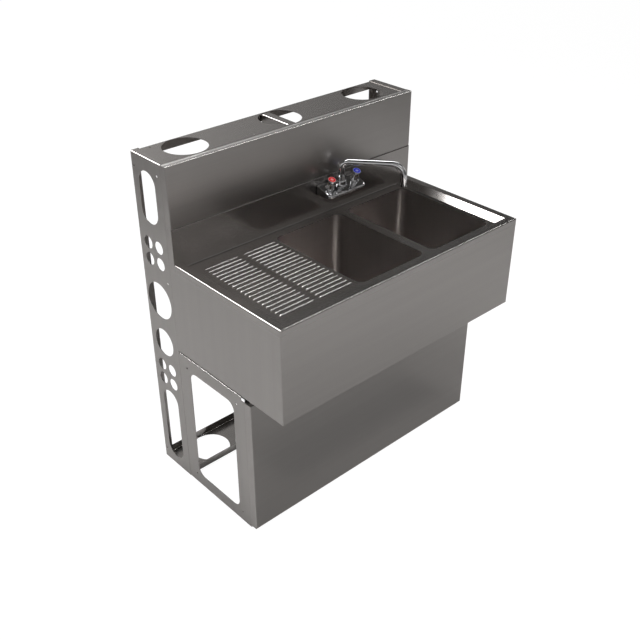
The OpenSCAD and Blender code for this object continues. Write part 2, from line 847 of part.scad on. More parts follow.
// Bowl shell under the deck, with a hole for its drain
module bowl(hole_d) {
    translate([0, 0, bowl_floor_z - sink_t]) difference() {
        tub(bowl_w + 2 * sink_t, bowl_l + 2 * sink_t, bowl_depth, bowl_r + sink_t, floor_r + sink_t);
        translate([0, 0, sink_t]) tub(bowl_w, bowl_l, bowl_depth, bowl_r, floor_r);
        translate([0, 0, -cut_over]) cylinder(d = hole_d, h = sink_t + 2 * cut_over);
    }
}

module sink_bowl() {
    color("dimgray") place() translate([sink_x, bowl_y, 0]) bowl(drain_hole_d);
}

ice_hole_d = ice_tube_d + 4 * fit_gap;

module ice_bin_liner() {
    color("dimgray") place() translate([ice_x, bowl_y, 0]) bowl(ice_hole_d);
}

// Insulation around the liner
module ice_bin_foam() {
    grow = 2 * (sink_t + fit_gap);
    outer = grow + 2 * foam_t;
    floor_z = casing_z + casing_t;
    top = pan_z - sink_t;
    color("khaki") place() translate([ice_x, bowl_y, 0]) difference() {
        translate([0, 0, floor_z]) linear_extrude(top - floor_z)
            round_rect(bowl_w + outer, bowl_l + outer, bowl_r + outer / 2);
        translate([0, 0, floor_z + foam_t])
            tub(bowl_w + grow, bowl_l + grow, top - floor_z, bowl_r + grow / 2, floor_r + grow / 2);
        translate([0, 0, floor_z - cut_over]) cylinder(d = ice_hole_d, h = foam_t + 2 * cut_over);
    }
}

// Outer casing of the ice bin
module ice_bin_casing() {
    grow = 2 * (sink_t + fit_gap + foam_t + fit_gap);
    outer = grow + 2 * casing_t;
    top = pan_z - sink_t;
    color("silver") place() translate([ice_x, bowl_y, 0]) difference() {
        translate([0, 0, casing_z]) linear_extrude(top - casing_z)
            round_rect(bowl_w + outer, bowl_l + outer, bowl_r + outer / 2);
        translate([0, 0, casing_z + casing_t]) linear_extrude(top - casing_z)
            round_rect(bowl_w + grow, bowl_l + grow, bowl_r + grow / 2);
        translate([0, 0, casing_z - cut_over]) cylinder(d = ice_hole_d, h = casing_t + 2 * cut_over);
    }
}

// Cup of the sink drain with its flange in the bowl and its spigot
module sink_drain_body() {
    seat_z = bowl_floor_z;
    cup_z = seat_z - drain_cup_h;
    color("silver") place() translate([sink_x, bowl_y, 0]) rotate_extrude($fn = 96) polygon([
        [drain_cup_d / 2 - drain_wall, seat_z + drain_flange_t], [drain_flange_d / 2, seat_z + drain_flange_t / 2],
        [drain_flange_d / 2, seat_z], [drain_cup_d / 2, seat_z],
        [drain_cup_d / 2, cup_z], [spigot_d / 2, cup_z], [spigot_d / 2, cup_z - spigot_h],
        [spigot_d / 2 - drain_wall, cup_z - spigot_h], [spigot_d / 2 - drain_wall, cup_z + drain_wall],
        [drain_cup_d / 2 - drain_wall, cup_z + drain_wall]
    ]);
}

drain_gasket_z = bowl_floor_z - sink_t - drain_gasket_t;

module ring(outer_d, inner_d, height) {
    difference() {
        cylinder(d = outer_d, h = height);
        translate([0, 0, -cut_over]) cylinder(d = inner_d, h = height + 2 * cut_over);
    }
}

module sink_drain_gasket() {
    color("black") place() translate([sink_x, bowl_y, drain_gasket_z])
        ring(drain_flange_d, drain_hole_d, drain_gasket_t);
}

// Lock nut with notches for a spanner
module sink_drain_nut() {
    notches = 8;
    notch_r = 3 * fit_gap + drain_wall;
    color("lightgray") place()
        translate([sink_x, bowl_y, drain_gasket_z - drain_nut_h]) difference() {
            ring(drain_nut_d, drain_cup_d + 2 * fit_gap, drain_nut_h);
            for (i = [0 : notches - 1]) rotate(i * 360 / notches)
                translate([drain_nut_d / 2, 0, -cut_over])
                    cylinder(r = notch_r, h = drain_nut_h + 2 * cut_over, $fn = 24);
        }
}

basket_seat_z = bowl_floor_z - drain_cup_h + drain_wall;

// Perforated cup that stands in the drain and lifts out by its knob
module strainer_basket() {
    knob_r = basket_knob_d / 2;
    post_r = knob_r / 2;
    floor_hole_r = basket_hole_d / 2;
    cup_r = basket_rim_d / 2 - 2 * basket_t;
    color("gainsboro") place() translate([sink_x, bowl_y, basket_seat_z]) difference() {
        rotate_extrude() polygon([
            [0, 0], [cup_r, 0], [cup_r, basket_h - basket_t],
            [basket_rim_d / 2, basket_h - basket_t], [basket_rim_d / 2, basket_h],
            [cup_r - basket_t, basket_h], [cup_r - basket_t, basket_t],
            [post_r, basket_t], [post_r, basket_h - knob_r], [knob_r, basket_h - post_r],
            [knob_r, basket_h], [0, basket_h]
        ]);
        for (ring_share = [0.42, 0.76], i = [0 : basket_holes - 1])
            rotate((i + ring_share) * 360 / basket_holes)
                translate([ring_share * cup_r, 0, -cut_over])
                    cylinder(r = floor_hole_r, h = basket_t + 2 * cut_over, $fn = 16);
    }
}

spigot_z = bowl_floor_z - drain_cup_h - spigot_h;
tail_flange_d = spigot_d - 2 * fit_gap;

// Tube under the spigot, with the flange that its nut clamps
module sink_tailpiece() {
    bore = tail_d - 2 * tail_wall;
    color("silver") place() translate([sink_x, bowl_y, spigot_z - tail_len]) difference() {
        union() {
            cylinder(d = tail_d, h = tail_end_len);
            cylinder(d = tail_d - 2 * fit_gap, h = tail_len);
            translate([0, 0, tail_len - 2 * tail_wall]) cylinder(d = tail_flange_d, h = 2 * tail_wall);
        }
        translate([0, 0, -cut_over]) cylinder(d = bore, h = tail_len + 2 * cut_over);
    }
}

// Slip nut around the spigot and under the tailpiece's flange
module tailpiece_nut() {
    grip = spigot_h * 2 / 3;
    lip = 2 * tail_wall;
    outer = spigot_d + 4 * drain_wall;
    color("lightgray") place()
        translate([sink_x, bowl_y, spigot_z - 2 * tail_wall - lip]) difference() {
            intersection() {
                cylinder(d = outer, h = grip + lip + 2 * tail_wall, $fn = 8);
                cylinder(d = outer - drain_wall, h = grip + lip + 2 * tail_wall);
            }
            translate([0, 0, -cut_over])
                cylinder(d = tail_d + 2 * fit_gap, h = lip + 2 * cut_over);
            translate([0, 0, lip]) cylinder(d = spigot_d + 2 * fit_gap, h = grip + spigot_h);
        }
}

// Ice drain: flange with a grid, and a tube through the insulation
module ice_drain_body() {
    tube_z = casing_z - ice_tube_len;
    bore_r = ice_tube_d / 2 - ice_tube_wall;
    color("silver") place() translate([ice_x, bowl_y, 0]) difference() {
        union() {
            translate([0, 0, bowl_floor_z]) cylinder(d = ice_flange_d, h = ice_flange_t);
            translate([0, 0, tube_z + ice_tip_len])
                cylinder(d = ice_tube_d, h = bowl_floor_z - tube_z - ice_tip_len);
            translate([0, 0, tube_z]) cylinder(d = ice_tube_d - 2 * fit_gap, h = ice_tip_len);
        }
        translate([0, 0, tube_z - cut_over])
            cylinder(r = bore_r, h = bowl_floor_z - tube_z + cut_over);
        for (i = [0 : ice_grid_holes - 1]) rotate(i * 360 / ice_grid_holes)
            translate([bore_r * 2 / 3, 0, bowl_floor_z - cut_over])
                cylinder(d = ice_grid_hole_d, h = ice_flange_t + 2 * cut_over, $fn = 24);
        translate([0, 0, bowl_floor_z - cut_over])
            cylinder(d = ice_grid_hole_d, h = ice_flange_t + 2 * cut_over, $fn = 24);
    }
}

ice_gasket_t = ice_flange_t;

module ice_drain_gasket() {
    color("black") place() translate([ice_x, bowl_y, casing_z - ice_gasket_t])
        ring(ice_nut_d, ice_hole_d, ice_gasket_t);
}

module ice_drain_nut() {
    color("lightgray") place()
        translate([ice_x, bowl_y, casing_z - ice_gasket_t - ice_nut_h]) difference() {
            cylinder(d = ice_nut_d, h = ice_nut_h, $fn = 6);
            translate([0, 0, -cut_over])
                cylinder(d = ice_tube_d + 2 * bolt_thread_gap, h = ice_nut_h + 2 * cut_over);
        }
}

// Puts a child in the frame of the faucet: X along the wall, Y towards the
// wall and Z up, with the origin on the gasket's face between the inlets
module at_faucet() translate([faucet_x, gasket_y, faucet_z]) children();

// Puts a child on the sloping top, with Z square to it, at one valve
module at_valve(side) {
    rise = body_half_h - (handle_out - shelf_d) * tan(top_tilt);
    at_faucet() translate([side * inlet_pitch / 2, -handle_out, rise])
        rotate([top_tilt, 0, 0]) children();
}

// Side view of the faucet body, with its nose towards the user
module body_section() {
    polygon([
        [0, -body_half_h], [0, body_half_h], [-shelf_d, body_half_h],
        [-body_d, body_half_h - top_drop], [-body_d, body_half_h - top_drop - nose_h]
    ]);
}

boss_h = 2;

module faucet_body() {
    hub_top = hub_rise;
    color("silver") place() difference() {
        union() {
            at_faucet() intersection() {
                translate([-body_w / 2, 0, 0]) extrude_x(body_w) body_section();
                translate([-body_w / 2, -body_d, -2 * body_half_h])
                    linear_extrude(4 * body_half_h)
                        soft_rect(body_w, body_d, body_corner_r, [true, true, false, false]);
            }
            at_faucet() translate([0, -spout_out, 0]) cylinder(d = hub_d, h = hub_top);
            for (side = [-1, 1]) {
                at_valve(side) translate([0, 0, -boss_h])
                    cylinder(r = bonnet_r, h = 2 * boss_h);
                at_faucet() translate([side * inlet_pitch / 2, 0, 0]) rotate([-90, 0, 0]) {
                    translate([0, 0, -shelf_d])
                        cylinder(d = shank_d, h = shank_len - shank_tip_len + shelf_d);
                    cylinder(d = shank_tip_d, h = shank_len);
                }
            }
        }
        at_faucet() translate([0, -spout_out, hub_top - spout_seat])
            cylinder(r = spout_bore_r, h = spout_seat + cut_over);
        for (side = [-1, 1]) {
            at_valve(side) translate([0, 0, -stem_depth - fit_gap])
                cylinder(r = stem_bore_r, h = stem_depth + 2 * boss_h + cut_over);
            at_faucet() translate([side * inlet_pitch / 2, -shelf_d, 0]) rotate([-90, 0, 0])
                cylinder(d = shank_bore_d, h = shank_len + shelf_d + cut_over);
        }
    }
}

// Gasket between the body and the backsplash
module faucet_gasket() {
    color("black") place() translate([faucet_x, wall_y, faucet_z]) difference() {
        translate([0, -faucet_gasket_t, 0]) extrude_y(faucet_gasket_t)
            round_rect(body_w - 2 * gasket_edge, 2 * body_half_h - 2 * gasket_edge, gasket_edge);
        for (side = [-1, 1])
            translate([side * inlet_pitch / 2, -faucet_gasket_t - cut_over, 0]) rotate([-90, 0, 0])
                cylinder(d = shank_hole_d, h = faucet_gasket_t + 2 * cut_over);
    }
}

// Puts a child behind the backsplash at each inlet, Z towards the back
module behind_wall(distance) {
    for (x = inlet_xs) translate([x, wall_y + sink_t + distance, faucet_z])
        rotate([-90, 0, 0]) children();
}

module faucet_washers() {
    color("silver") place() behind_wall(0) ring(washer_d, shank_hole_d, washer_t);
}

module faucet_nuts() {
    color("goldenrod") place() behind_wall(washer_t) difference() {
        cylinder(d = shank_nut_d, h = shank_nut_h, $fn = 6);
        translate([0, 0, -cut_over])
            cylinder(d = shank_d + 2 * bolt_thread_gap, h = shank_nut_h + 2 * cut_over);
    }
}

// Hexagon nuts that hold the valves in the body
module valve_bonnets() {
    color("silver") place() for (side = [-1, 1]) at_valve(side) translate([0, 0, boss_h])
        difference() {
            cylinder(r = bonnet_r, h = bonnet_h - boss_h, $fn = 6);
            translate([0, 0, -cut_over]) cylinder(r = stem_bore_r, h = bonnet_h + cut_over);
        }
}

// Round bar along the spout's path in its own plane, X outward and Z up
module spout_path(r, over) {
    foot_z = hub_rise - spout_seat + fit_gap - over;
    run_end = spout_reach - outlet_bend_r;
    tip_z = spout_rise - outlet_bend_r - outlet_len - over;
    translate([0, 0, foot_z]) cylinder(r = r, h = spout_rise - spout_bend_r - foot_z);
    translate([spout_bend_r, 0, spout_rise - spout_bend_r]) rotate([90, 0, 0])
        rotate(90) rotate_extrude(angle = 90) translate([spout_bend_r, 0]) circle(r);
    translate([spout_bend_r, 0, spout_rise]) rotate([0, 90, 0])
        cylinder(r = r, h = run_end - spout_bend_r);
    translate([run_end, 0, spout_rise - outlet_bend_r]) rotate([90, 0, 0])
        rotate_extrude(angle = 90) translate([outlet_bend_r, 0]) circle(r);
    translate([spout_reach, 0, tip_z])
        cylinder(r = r, h = spout_rise - outlet_bend_r - tip_z);
}

module at_spout() at_faucet() translate([0, -spout_out, 0]) rotate(-spout_angle) children();

// Bent swivel tube
module spout() {
    color("silver") place() at_spout() difference() {
        spout_path(spout_d / 2, 0);
        spout_path(spout_d / 2 - spout_wall, cut_over);
    }
}

// Nut that holds the spout on its hub, hollow for the seal ring
module spout_nut() {
    lip_h = spout_nut_h / 4;
    color("silver") place() at_faucet() translate([0, -spout_out, hub_rise]) difference() {
        union() {
            cylinder(d = spout_nut_d, h = spout_nut_h - lip_h, $fn = 8);
            translate([0, 0, spout_nut_h - lip_h]) cylinder(
                d1 = spout_nut_d * cos(180 / 8), d2 = 2 * (spout_bore_r + spout_wall), h = lip_h);
        }
        translate([0, 0, -cut_over]) cylinder(r = spout_bore_r, h = spout_nut_h + 2 * cut_over);
        translate([0, 0, -cut_over])
            cylinder(r = spout_bore_r + seal_ring_t, h = seal_ring_t + fit_gap + cut_over);
    }
}

// Seal ring round the foot of the spout, inside its nut
module spout_seal() {
    color("black") place() at_faucet() translate([0, -spout_out, hub_rise])
        ring(spout_d + 2 * seal_ring_t, 2 * spout_bore_r, seal_ring_t);
}

// Flow straightener inside the outlet
module outlet_insert() {
    r = spout_d / 2 - spout_wall - fit_gap / 3;
    height = spout_d / 2;
    slot = spout_wall;
    color("dimgray") place() at_spout()
        translate([spout_reach, 0, spout_rise - outlet_bend_r - outlet_len + fit_gap]) difference() {
            cylinder(r = r, h = height);
            for (i = [-1 : 1]) {
                translate([-r / 2, i * 3 * slot - slot / 2, -cut_over])
                    cube([r, slot, height + 2 * cut_over]);
            }
        }
}

// Fluted handle with a seat for its index button
module handle() {
    flute_foot = cavity_h + handle_wall;
    neck_z = handle_h - crown_h - skirt_h;
    lean = atan((skirt_r - waist_r) / (neck_z - skirt_h));
    difference() {
        translate([0, 0, handle_float]) difference() {
            rotate_extrude() polygon([
                [0, 0], [skirt_r, 0], [skirt_r, skirt_h / 2], [skirt_r - skirt_h / 3, skirt_h],
                [waist_r, neck_z], [waist_r, handle_h - crown_h],
                [crown_r, handle_h - crown_h / 3], [crown_r, handle_h - crown_h / 6],
                [crown_r - crown_h / 8, handle_h], [0, handle_h]
            ]);
            for (i = [0 : flute_count - 1]) rotate(i * 360 / flute_count)
                translate([waist_r + flute_r / 2, 0, neck_z]) rotate([0, lean, 0])
                    translate([0, 0, (flute_foot - neck_z) / cos(lean)])
                        cylinder(r = flute_r, h = (handle_h - crown_h - flute_foot) / cos(lean), $fn = 24);
        }
        translate([0, 0, -cut_over]) cylinder(r = cavity_r, h = cavity_h + cut_over);
        translate([0, 0, -cut_over])
            cylinder(r = stem_r + bolt_thread_gap, h = stem_end + bolt_thread_gap + cut_over);
        translate([0, 0, stem_end])
            cylinder(r = screw_r + bolt_thread_gap, h = handle_h);
        translate([0, 0, handle_h + handle_float - crown_seat - screw_head_h - fit_gap])
            cylinder(r = screw_head_r + fit_gap, h = handle_h);
        translate([0, 0, handle_h + handle_float - crown_seat])
            cylinder(r = index_r + fit_gap / 2, h = handle_h);
    }
}

module hot_handle() color("silver") place() at_valve(-1) handle();
module cold_handle() color("silver") place() at_valve(1) handle();

// Domed index button in the top of a handle
module index_button() {
    translate([0, 0, handle_h + handle_float - crown_seat + fit_gap / 3]) rotate_extrude() polygon([
        [0, 0], [index_r, 0], [index_r, index_t / 2], [index_r * 0.9, index_t * 0.85],
        [index_r / 2, index_t], [0, index_t]
    ]);
}

module hot_index() color("crimson") place() at_valve(-1) index_button();
module cold_index() color("royalblue") place() at_valve(1) index_button();

// Valve stem from the body up into its handle, drilled for the screw
module stem() {
    difference() {
        translate([0, 0, -stem_depth]) cylinder(r = stem_r, h = stem_depth + stem_end);
        translate([0, 0, stem_end - screw_len])
            cylinder(r = screw_r + bolt_thread_gap, h = screw_len + cut_over);
    }
}

module hot_stem() color("goldenrod") place() at_valve(-1) stem();
module cold_stem() color("goldenrod") place() at_valve(1) stem();

// Screw that holds a handle on its stem, under the button
module handle_screw() {
    head_z = handle_h + handle_float - crown_seat - screw_head_h - fit_gap / 2;
    translate([0, 0, head_z - fit_gap / 2]) cylinder(r = screw_head_r, h = screw_head_h);
    translate([0, 0, stem_end - screw_len + fit_gap])
        cylinder(r = screw_r, h = head_z - stem_end + screw_len);
}

module hot_handle_screw() color("silver") place() at_valve(-1) handle_screw();
module cold_handle_screw() color("silver") place() at_valve(1) handle_screw();

chase_side_left();
chase_side_right();
chase_divider();
chase_top_plate();
chase_bottom_plate();
chase_front_skin();
base_side_left();
base_side_right();
base_front_skin();
base_rail_front_top();
base_rail_front_bottom();
base_rail_rear_top();
frame_bolts();
frame_nuts();
seat_pads();
deck_pan();
apron_front();
apron_left();
apron_right();
sink_bowl();
ice_bin_liner();
ice_bin_foam();
ice_bin_casing();
sink_drain_body();
sink_drain_gasket();
sink_drain_nut();
strainer_basket();
sink_tailpiece();
tailpiece_nut();
ice_drain_body();
ice_drain_gasket();
ice_drain_nut();
faucet_body();
faucet_gasket();
faucet_washers();
faucet_nuts();
valve_bonnets();
spout();
spout_nut();
spout_seal();
outlet_insert();
hot_handle();
cold_handle();
hot_index();
cold_index();
hot_stem();
cold_stem();
hot_handle_screw();
cold_handle_screw();
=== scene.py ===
"""Looks of the underbar sink with its ice bin: brushed sheet, chromed faucet, studio and camera."""

from __future__ import annotations

import json
import logging
import math
from dataclasses import dataclass, field
from enum import Enum

import bmesh
import bpy
from mathutils import Matrix, Vector

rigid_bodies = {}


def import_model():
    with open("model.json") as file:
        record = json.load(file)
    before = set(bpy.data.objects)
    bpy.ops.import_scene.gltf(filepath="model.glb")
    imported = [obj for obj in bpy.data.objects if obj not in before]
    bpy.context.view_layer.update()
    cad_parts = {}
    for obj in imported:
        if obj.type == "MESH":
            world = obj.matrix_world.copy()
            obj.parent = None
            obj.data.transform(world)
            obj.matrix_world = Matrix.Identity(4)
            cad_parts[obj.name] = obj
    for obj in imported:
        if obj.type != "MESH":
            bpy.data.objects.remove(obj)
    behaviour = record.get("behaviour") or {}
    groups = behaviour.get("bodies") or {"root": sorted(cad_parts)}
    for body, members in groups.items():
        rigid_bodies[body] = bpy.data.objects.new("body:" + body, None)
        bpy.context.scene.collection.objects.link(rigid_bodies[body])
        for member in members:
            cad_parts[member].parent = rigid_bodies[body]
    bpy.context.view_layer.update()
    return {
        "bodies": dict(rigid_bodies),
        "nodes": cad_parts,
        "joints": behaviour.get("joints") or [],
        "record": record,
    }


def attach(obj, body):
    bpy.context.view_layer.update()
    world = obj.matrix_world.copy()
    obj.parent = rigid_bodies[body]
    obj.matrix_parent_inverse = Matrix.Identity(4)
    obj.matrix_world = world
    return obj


LOG = logging.getLogger("underbar_sink")
Colour = tuple[float, float, float]
STEEL: Colour = (0.36, 0.342, 0.33)
FAR = 10.0  # metres, past every part of the object
MIDDLE = 0.5  # mean of the noise, where a mask changes nothing
SHARP = math.radians(32)  # folds sharper than this are rounded
FLAT = math.radians(0.6)  # faces flatter than this to each other are joined before that
SMOOTH = math.radians(35)  # folds duller than this are shaded smooth
JOINED = 0.00001  # metres, corners closer than this are one


class Grain(Enum):
    """Direction in which a sheet is brushed, with the stretch of its streaks along X, Y and Z."""

    ALONG_X = (3.0, 900.0, 900.0)
    ALONG_Z = (900.0, 900.0, 3.0)


def calculate(
    tree: bpy.types.NodeTree, operation: str, *terms: bpy.types.NodeSocket | float
) -> bpy.types.NodeSocket:
    """Places a maths node.

    Args:
        tree: Node tree that gets the node.
        operation: Blender's name of the operation.
        terms: What it works on, in order, sockets or numbers.

    Returns:
        The socket with the result.
    """
    node = tree.nodes.new("ShaderNodeMath")
    node.operation = operation
    for term, socket in zip(terms, node.inputs):
        if isinstance(term, bpy.types.NodeSocket):
            tree.links.new(term, socket)
        else:
            socket.default_value = term
    return node.outputs[0]


def ramp(
    tree: bpy.types.NodeTree,
    value: bpy.types.NodeSocket,
    span: tuple[float, float],
    levels: tuple[float, float] = (0.0, 1.0),
) -> bpy.types.NodeSocket:
    """Turns a value into a smooth ramp.

    Args:
        tree: Node tree that gets the node.
        value: Socket with the value.
        span: Values at which the ramp begins and ends.
        levels: Its results there.

    Returns:
        The socket with the result.
    """
    node = tree.nodes.new("ShaderNodeMapRange")
    node.interpolation_type = "SMOOTHSTEP"
    for name, number in zip(("From Min", "From Max", "To Min", "To Max"), span + levels):
        node.inputs[name].default_value = number
    tree.links.new(value, node.inputs["Value"])
    return node.outputs["Result"]


class Shader:
    """A material's node tree with short calls for placing and joining nodes."""

    def __init__(self, name: str) -> None:
        """Makes the material with a Principled shader.

        Args:
            name: Name of the material.
        """
        self.material = bpy.data.materials.new(name)
        self.material.use_nodes = True
        self.tree = self.material.node_tree
        self.surface = self.tree.nodes["Principled BSDF"]

    def add(self, kind: str, **settings: object) -> bpy.types.Node:
        """Places a node.

        Args:
            kind: Blender's name of the node type.
            settings: Properties to set on the node.

        Returns:
            The new node.
        """
        node = self.tree.nodes.new(kind)
        for key, value in settings.items():
            setattr(node, key, value)
        return node

    def group(self, tree: bpy.types.NodeTree, **values: object) -> bpy.types.Node:
        """Places a node group.

        Args:
            tree: The group.
            values: Values of its inputs, with underscores for spaces.

        Returns:
            The group node.
        """
        node = self.add("ShaderNodeGroup", node_tree=tree)
        for key, value in values.items():
            node.inputs[key.replace("_", " ")].default_value = value
        return node

    def join(self, source: bpy.types.NodeSocket, target: bpy.types.NodeSocket) -> None:
        """Links two sockets."""
        self.tree.links.new(source, target)

    def set(self, **values: object) -> None:
        """Sets inputs of the Principled shader, with underscores for spaces."""
        for key, value in values.items():
            self.surface.inputs[key.replace("_", " ")].default_value = value

    def blend(
        self, kind: str, mask: bpy.types.NodeSocket, base: bpy.types.NodeSocket, value: object
    ) -> bpy.types.NodeSocket:
        """Blends a socket into a fixed value where a mask says so.

        Args:
            kind: RGBA or FLOAT.
            mask: Mask from 0, the socket, to 1, the value.
            base: The socket.
            value: The value.

        Returns:
            The blended socket.
        """
        node = self.add("ShaderNodeMix", data_type=kind)
        sockets = {socket.name: socket for socket in node.inputs if socket.enabled}
        sockets["B"].default_value = value
        self.join(mask, sockets["Factor"])
        self.join(base, sockets["A"])
        return next(socket for socket in node.outputs if socket.enabled)

    def vary(
        self, mask: bpy.types.NodeSocket, low: float, high: float
    ) -> bpy.types.NodeSocket:
        """Turns a mask into a roughness between two values.

        Args:
            mask: Mask from 0 to 1.
            low: Roughness where the mask is 0.
            high: Roughness where the mask is 1.

        Returns:
            The socket with the roughness.
        """
        spread = self.add("ShaderNodeMapRange")
        spread.inputs["To Min"].default_value = low
        spread.inputs["To Max"].default_value = high
        self.join(mask, spread.inputs["Value"])
        return spread.outputs["Result"]

    def bump(self, height: bpy.types.NodeSocket, distance: float) -> None:
        """Adds relief to the surface.

        Args:
            height: Socket that gives the height from 0 to 1.
            distance: Depth of the relief in metres.
        """
        node = self.add("ShaderNodeBump")
        node.inputs["Distance"].default_value = distance
        self.join(height, node.inputs["Height"])
        self.join(node.outputs["Normal"], self.surface.inputs["Normal"])

    def replace(self, output: bpy.types.NodeSocket) -> None:
        """Puts another shader's output in the place of the Principled shader."""
        self.tree.nodes.remove(self.surface)
        self.join(output, self.tree.nodes["Material Output"].inputs["Surface"])


class Effects:
    """Shader node groups that several finishes share, each made once.

    The three spans say how far up the normal points, from 0 on upright sheet to 1 on level
    sheet, where a mask begins and where it is full.
    """

    # CROWN and TILTED bound the painted highlight on the crowns of folds and ribs.
    CROWN = (0.78, 0.86)
    TILTED = (0.995, 0.975)
    UPRIGHT = (0.3, 0.2)

    def __init__(self) -> None:
        """Makes the groups."""
        self.grain = self._grain()
        self.smudge = self._smudge()
        self.shade = self._shade()
        self.lie = self._lie()

    @staticmethod
    def _start(name: str, inputs: dict[str, object], outputs: dict[str, str]) -> tuple:
        """Makes an empty group.

        Args:
            name: Name of the group.
            inputs: Name and default value of each input.
            outputs: Name and socket type of each output.

        Returns:
            The tree, its input node and its output node.
        """
        tree = bpy.data.node_groups.new(name, "ShaderNodeTree")
        for key, value in inputs.items():
            kind = {float: "NodeSocketFloat", tuple: "NodeSocketVector"}[type(value)]
            if key == "Colour":
                kind = "NodeSocketColor"
            socket = tree.interface.new_socket(key, in_out="INPUT", socket_type=kind)
            socket.default_value = value
        for key, kind in outputs.items():
            tree.interface.new_socket(key, in_out="OUTPUT", socket_type=kind)
        return tree, tree.nodes.new("NodeGroupInput"), tree.nodes.new("NodeGroupOutput")

    def _grain(self) -> bpy.types.NodeTree:
        """Streaks of a brushed sheet.

        Returns:
            Group with the inputs Stretch and Broad Share, the size of the fine streaks as a
            share of the broad ones, and the outputs Fine and Broad, from 0 to 1.
        """
        tree, into, out = self._start(
            "brushed_grain",
            {"Stretch": (3.0, 900.0, 900.0), "Broad Share": 0.04},
            {"Fine": "NodeSocketFloat", "Broad": "NodeSocketFloat"},
        )
        new, join = tree.nodes.new, tree.links.new
        place = new("ShaderNodeTexCoord")
        stretch = new("ShaderNodeVectorMath")
        stretch.operation = "MULTIPLY"
        join(place.outputs["Object"], stretch.inputs[0])
        join(into.outputs["Stretch"], stretch.inputs[1])
        wide = new("ShaderNodeVectorMath")
        wide.operation = "SCALE"
        join(stretch.outputs[0], wide.inputs[0])
        join(into.outputs["Broad Share"], wide.inputs["Scale"])
        for name, vector, detail in (("Fine", stretch, 2.0), ("Broad", wide, 3.0)):
            noise = new("ShaderNodeTexNoise")
            noise.inputs["Scale"].default_value = 1.0
            noise.inputs["Detail"].default_value = detail
            join(vector.outputs[0], noise.inputs["Vector"])
            join(noise.outputs["Fac"], out.inputs[name])
        return tree

    def _smudge(self) -> bpy.types.NodeTree:
        """Cloudy marks of wiping and handling.

        Returns:
            Group with the inputs Scale and Contrast and the output Mask, from 0 to 1.
        """
        tree, into, out = self._start(
            "handling_marks",
            {"Scale": 6.0, "Contrast": 0.2},
            {"Mask": "NodeSocketFloat"},
        )
        new, join = tree.nodes.new, tree.links.new
        place = new("ShaderNodeTexCoord")
        cloud = new("ShaderNodeTexNoise")
        cloud.inputs["Detail"].default_value = 5.0
        cloud.inputs["Distortion"].default_value = 0.4
        join(place.outputs["Object"], cloud.inputs["Vector"])
        join(into.outputs["Scale"], cloud.inputs["Scale"])
        spread = new("ShaderNodeMapRange")
        join(cloud.outputs["Fac"], spread.inputs["Value"])
        for name, operation in (("From Min", "SUBTRACT"), ("From Max", "ADD")):
            limit = calculate(tree, operation, MIDDLE, into.outputs["Contrast"])
            join(limit, spread.inputs[name])
        join(spread.outputs["Result"], out.inputs["Mask"])
        return tree

    def _shade(self) -> bpy.types.NodeTree:
        """Darkens and lightens a colour by a mask.

        Returns:
            Group with the inputs Colour, Mask and Amount and the output Colour.
        """
        tree, into, out = self._start(
            "tone_by_mask",
            {"Colour": (0.5, 0.5, 0.5, 1.0), "Mask": 0.5, "Amount": 0.1},
            {"Colour": "NodeSocketColor"},
        )
        join = tree.links.new
        away = calculate(tree, "SUBTRACT", into.outputs["Mask"], MIDDLE)
        gain = calculate(tree, "MULTIPLY_ADD", away, into.outputs["Amount"], 1.0)
        scale = tree.nodes.new("ShaderNodeVectorMath")
        scale.operation = "SCALE"
        join(into.outputs["Colour"], scale.inputs[0])
        join(gain, scale.inputs["Scale"])
        join(scale.outputs[0], out.inputs["Colour"])
        return tree

    def _lie(self) -> bpy.types.NodeTree:
        """Tells how a sheet lies.

        Returns:
            Group with the inputs Reach, the Y plane behind which no highlight is painted, Left,
            the X plane left of which none is, Edge, the Y plane of a painted highlight line, and
            Edge Width, half of that line's width. Its outputs are Bend, 1 on the crowns of folds
            and ribs where a highlight is painted, Upright, 1 on upright sheet, and Line, 1 along
            the painted highlight line, weighted by how far the sheet faces up.
        """
        tree, into, out = self._start(
            "lie_of_surface",
            {"Reach": FAR, "Left": -FAR, "Edge": FAR, "Edge Width": 0.0016},
            {"Bend": "NodeSocketFloat", "Upright": "NodeSocketFloat", "Line": "NodeSocketFloat"},
        )
        new, join = tree.nodes.new, tree.links.new
        place = new("ShaderNodeTexCoord")
        normal, point = new("ShaderNodeSeparateXYZ"), new("ShaderNodeSeparateXYZ")
        join(place.outputs["Normal"], normal.inputs[0])
        join(place.outputs["Object"], point.inputs[0])
        lift, at, given = normal.outputs["Z"], point.outputs, into.outputs
        # Bend: mask of the painted highlight on tilted crowns, in front of Reach and right of Left.
        bend = ramp(tree, lift, self.CROWN)
        for mask in (
            ramp(tree, lift, self.TILTED),
            calculate(tree, "LESS_THAN", at["Y"], given["Reach"]),
            calculate(tree, "GREATER_THAN", at["X"], given["Left"]),
        ):
            bend = calculate(tree, "MULTIPLY", bend, mask)
        # Line: mask of a painted highlight line along the Edge plane, on sheet that faces up.
        near = calculate(tree, "COMPARE", at["Y"], given["Edge"], given["Edge Width"])
        join(bend, out.inputs["Bend"])
        join(ramp(tree, lift, self.UPRIGHT), out.inputs["Upright"])
        join(calculate(tree, "MULTIPLY", near, lift), out.inputs["Line"])
        return tree


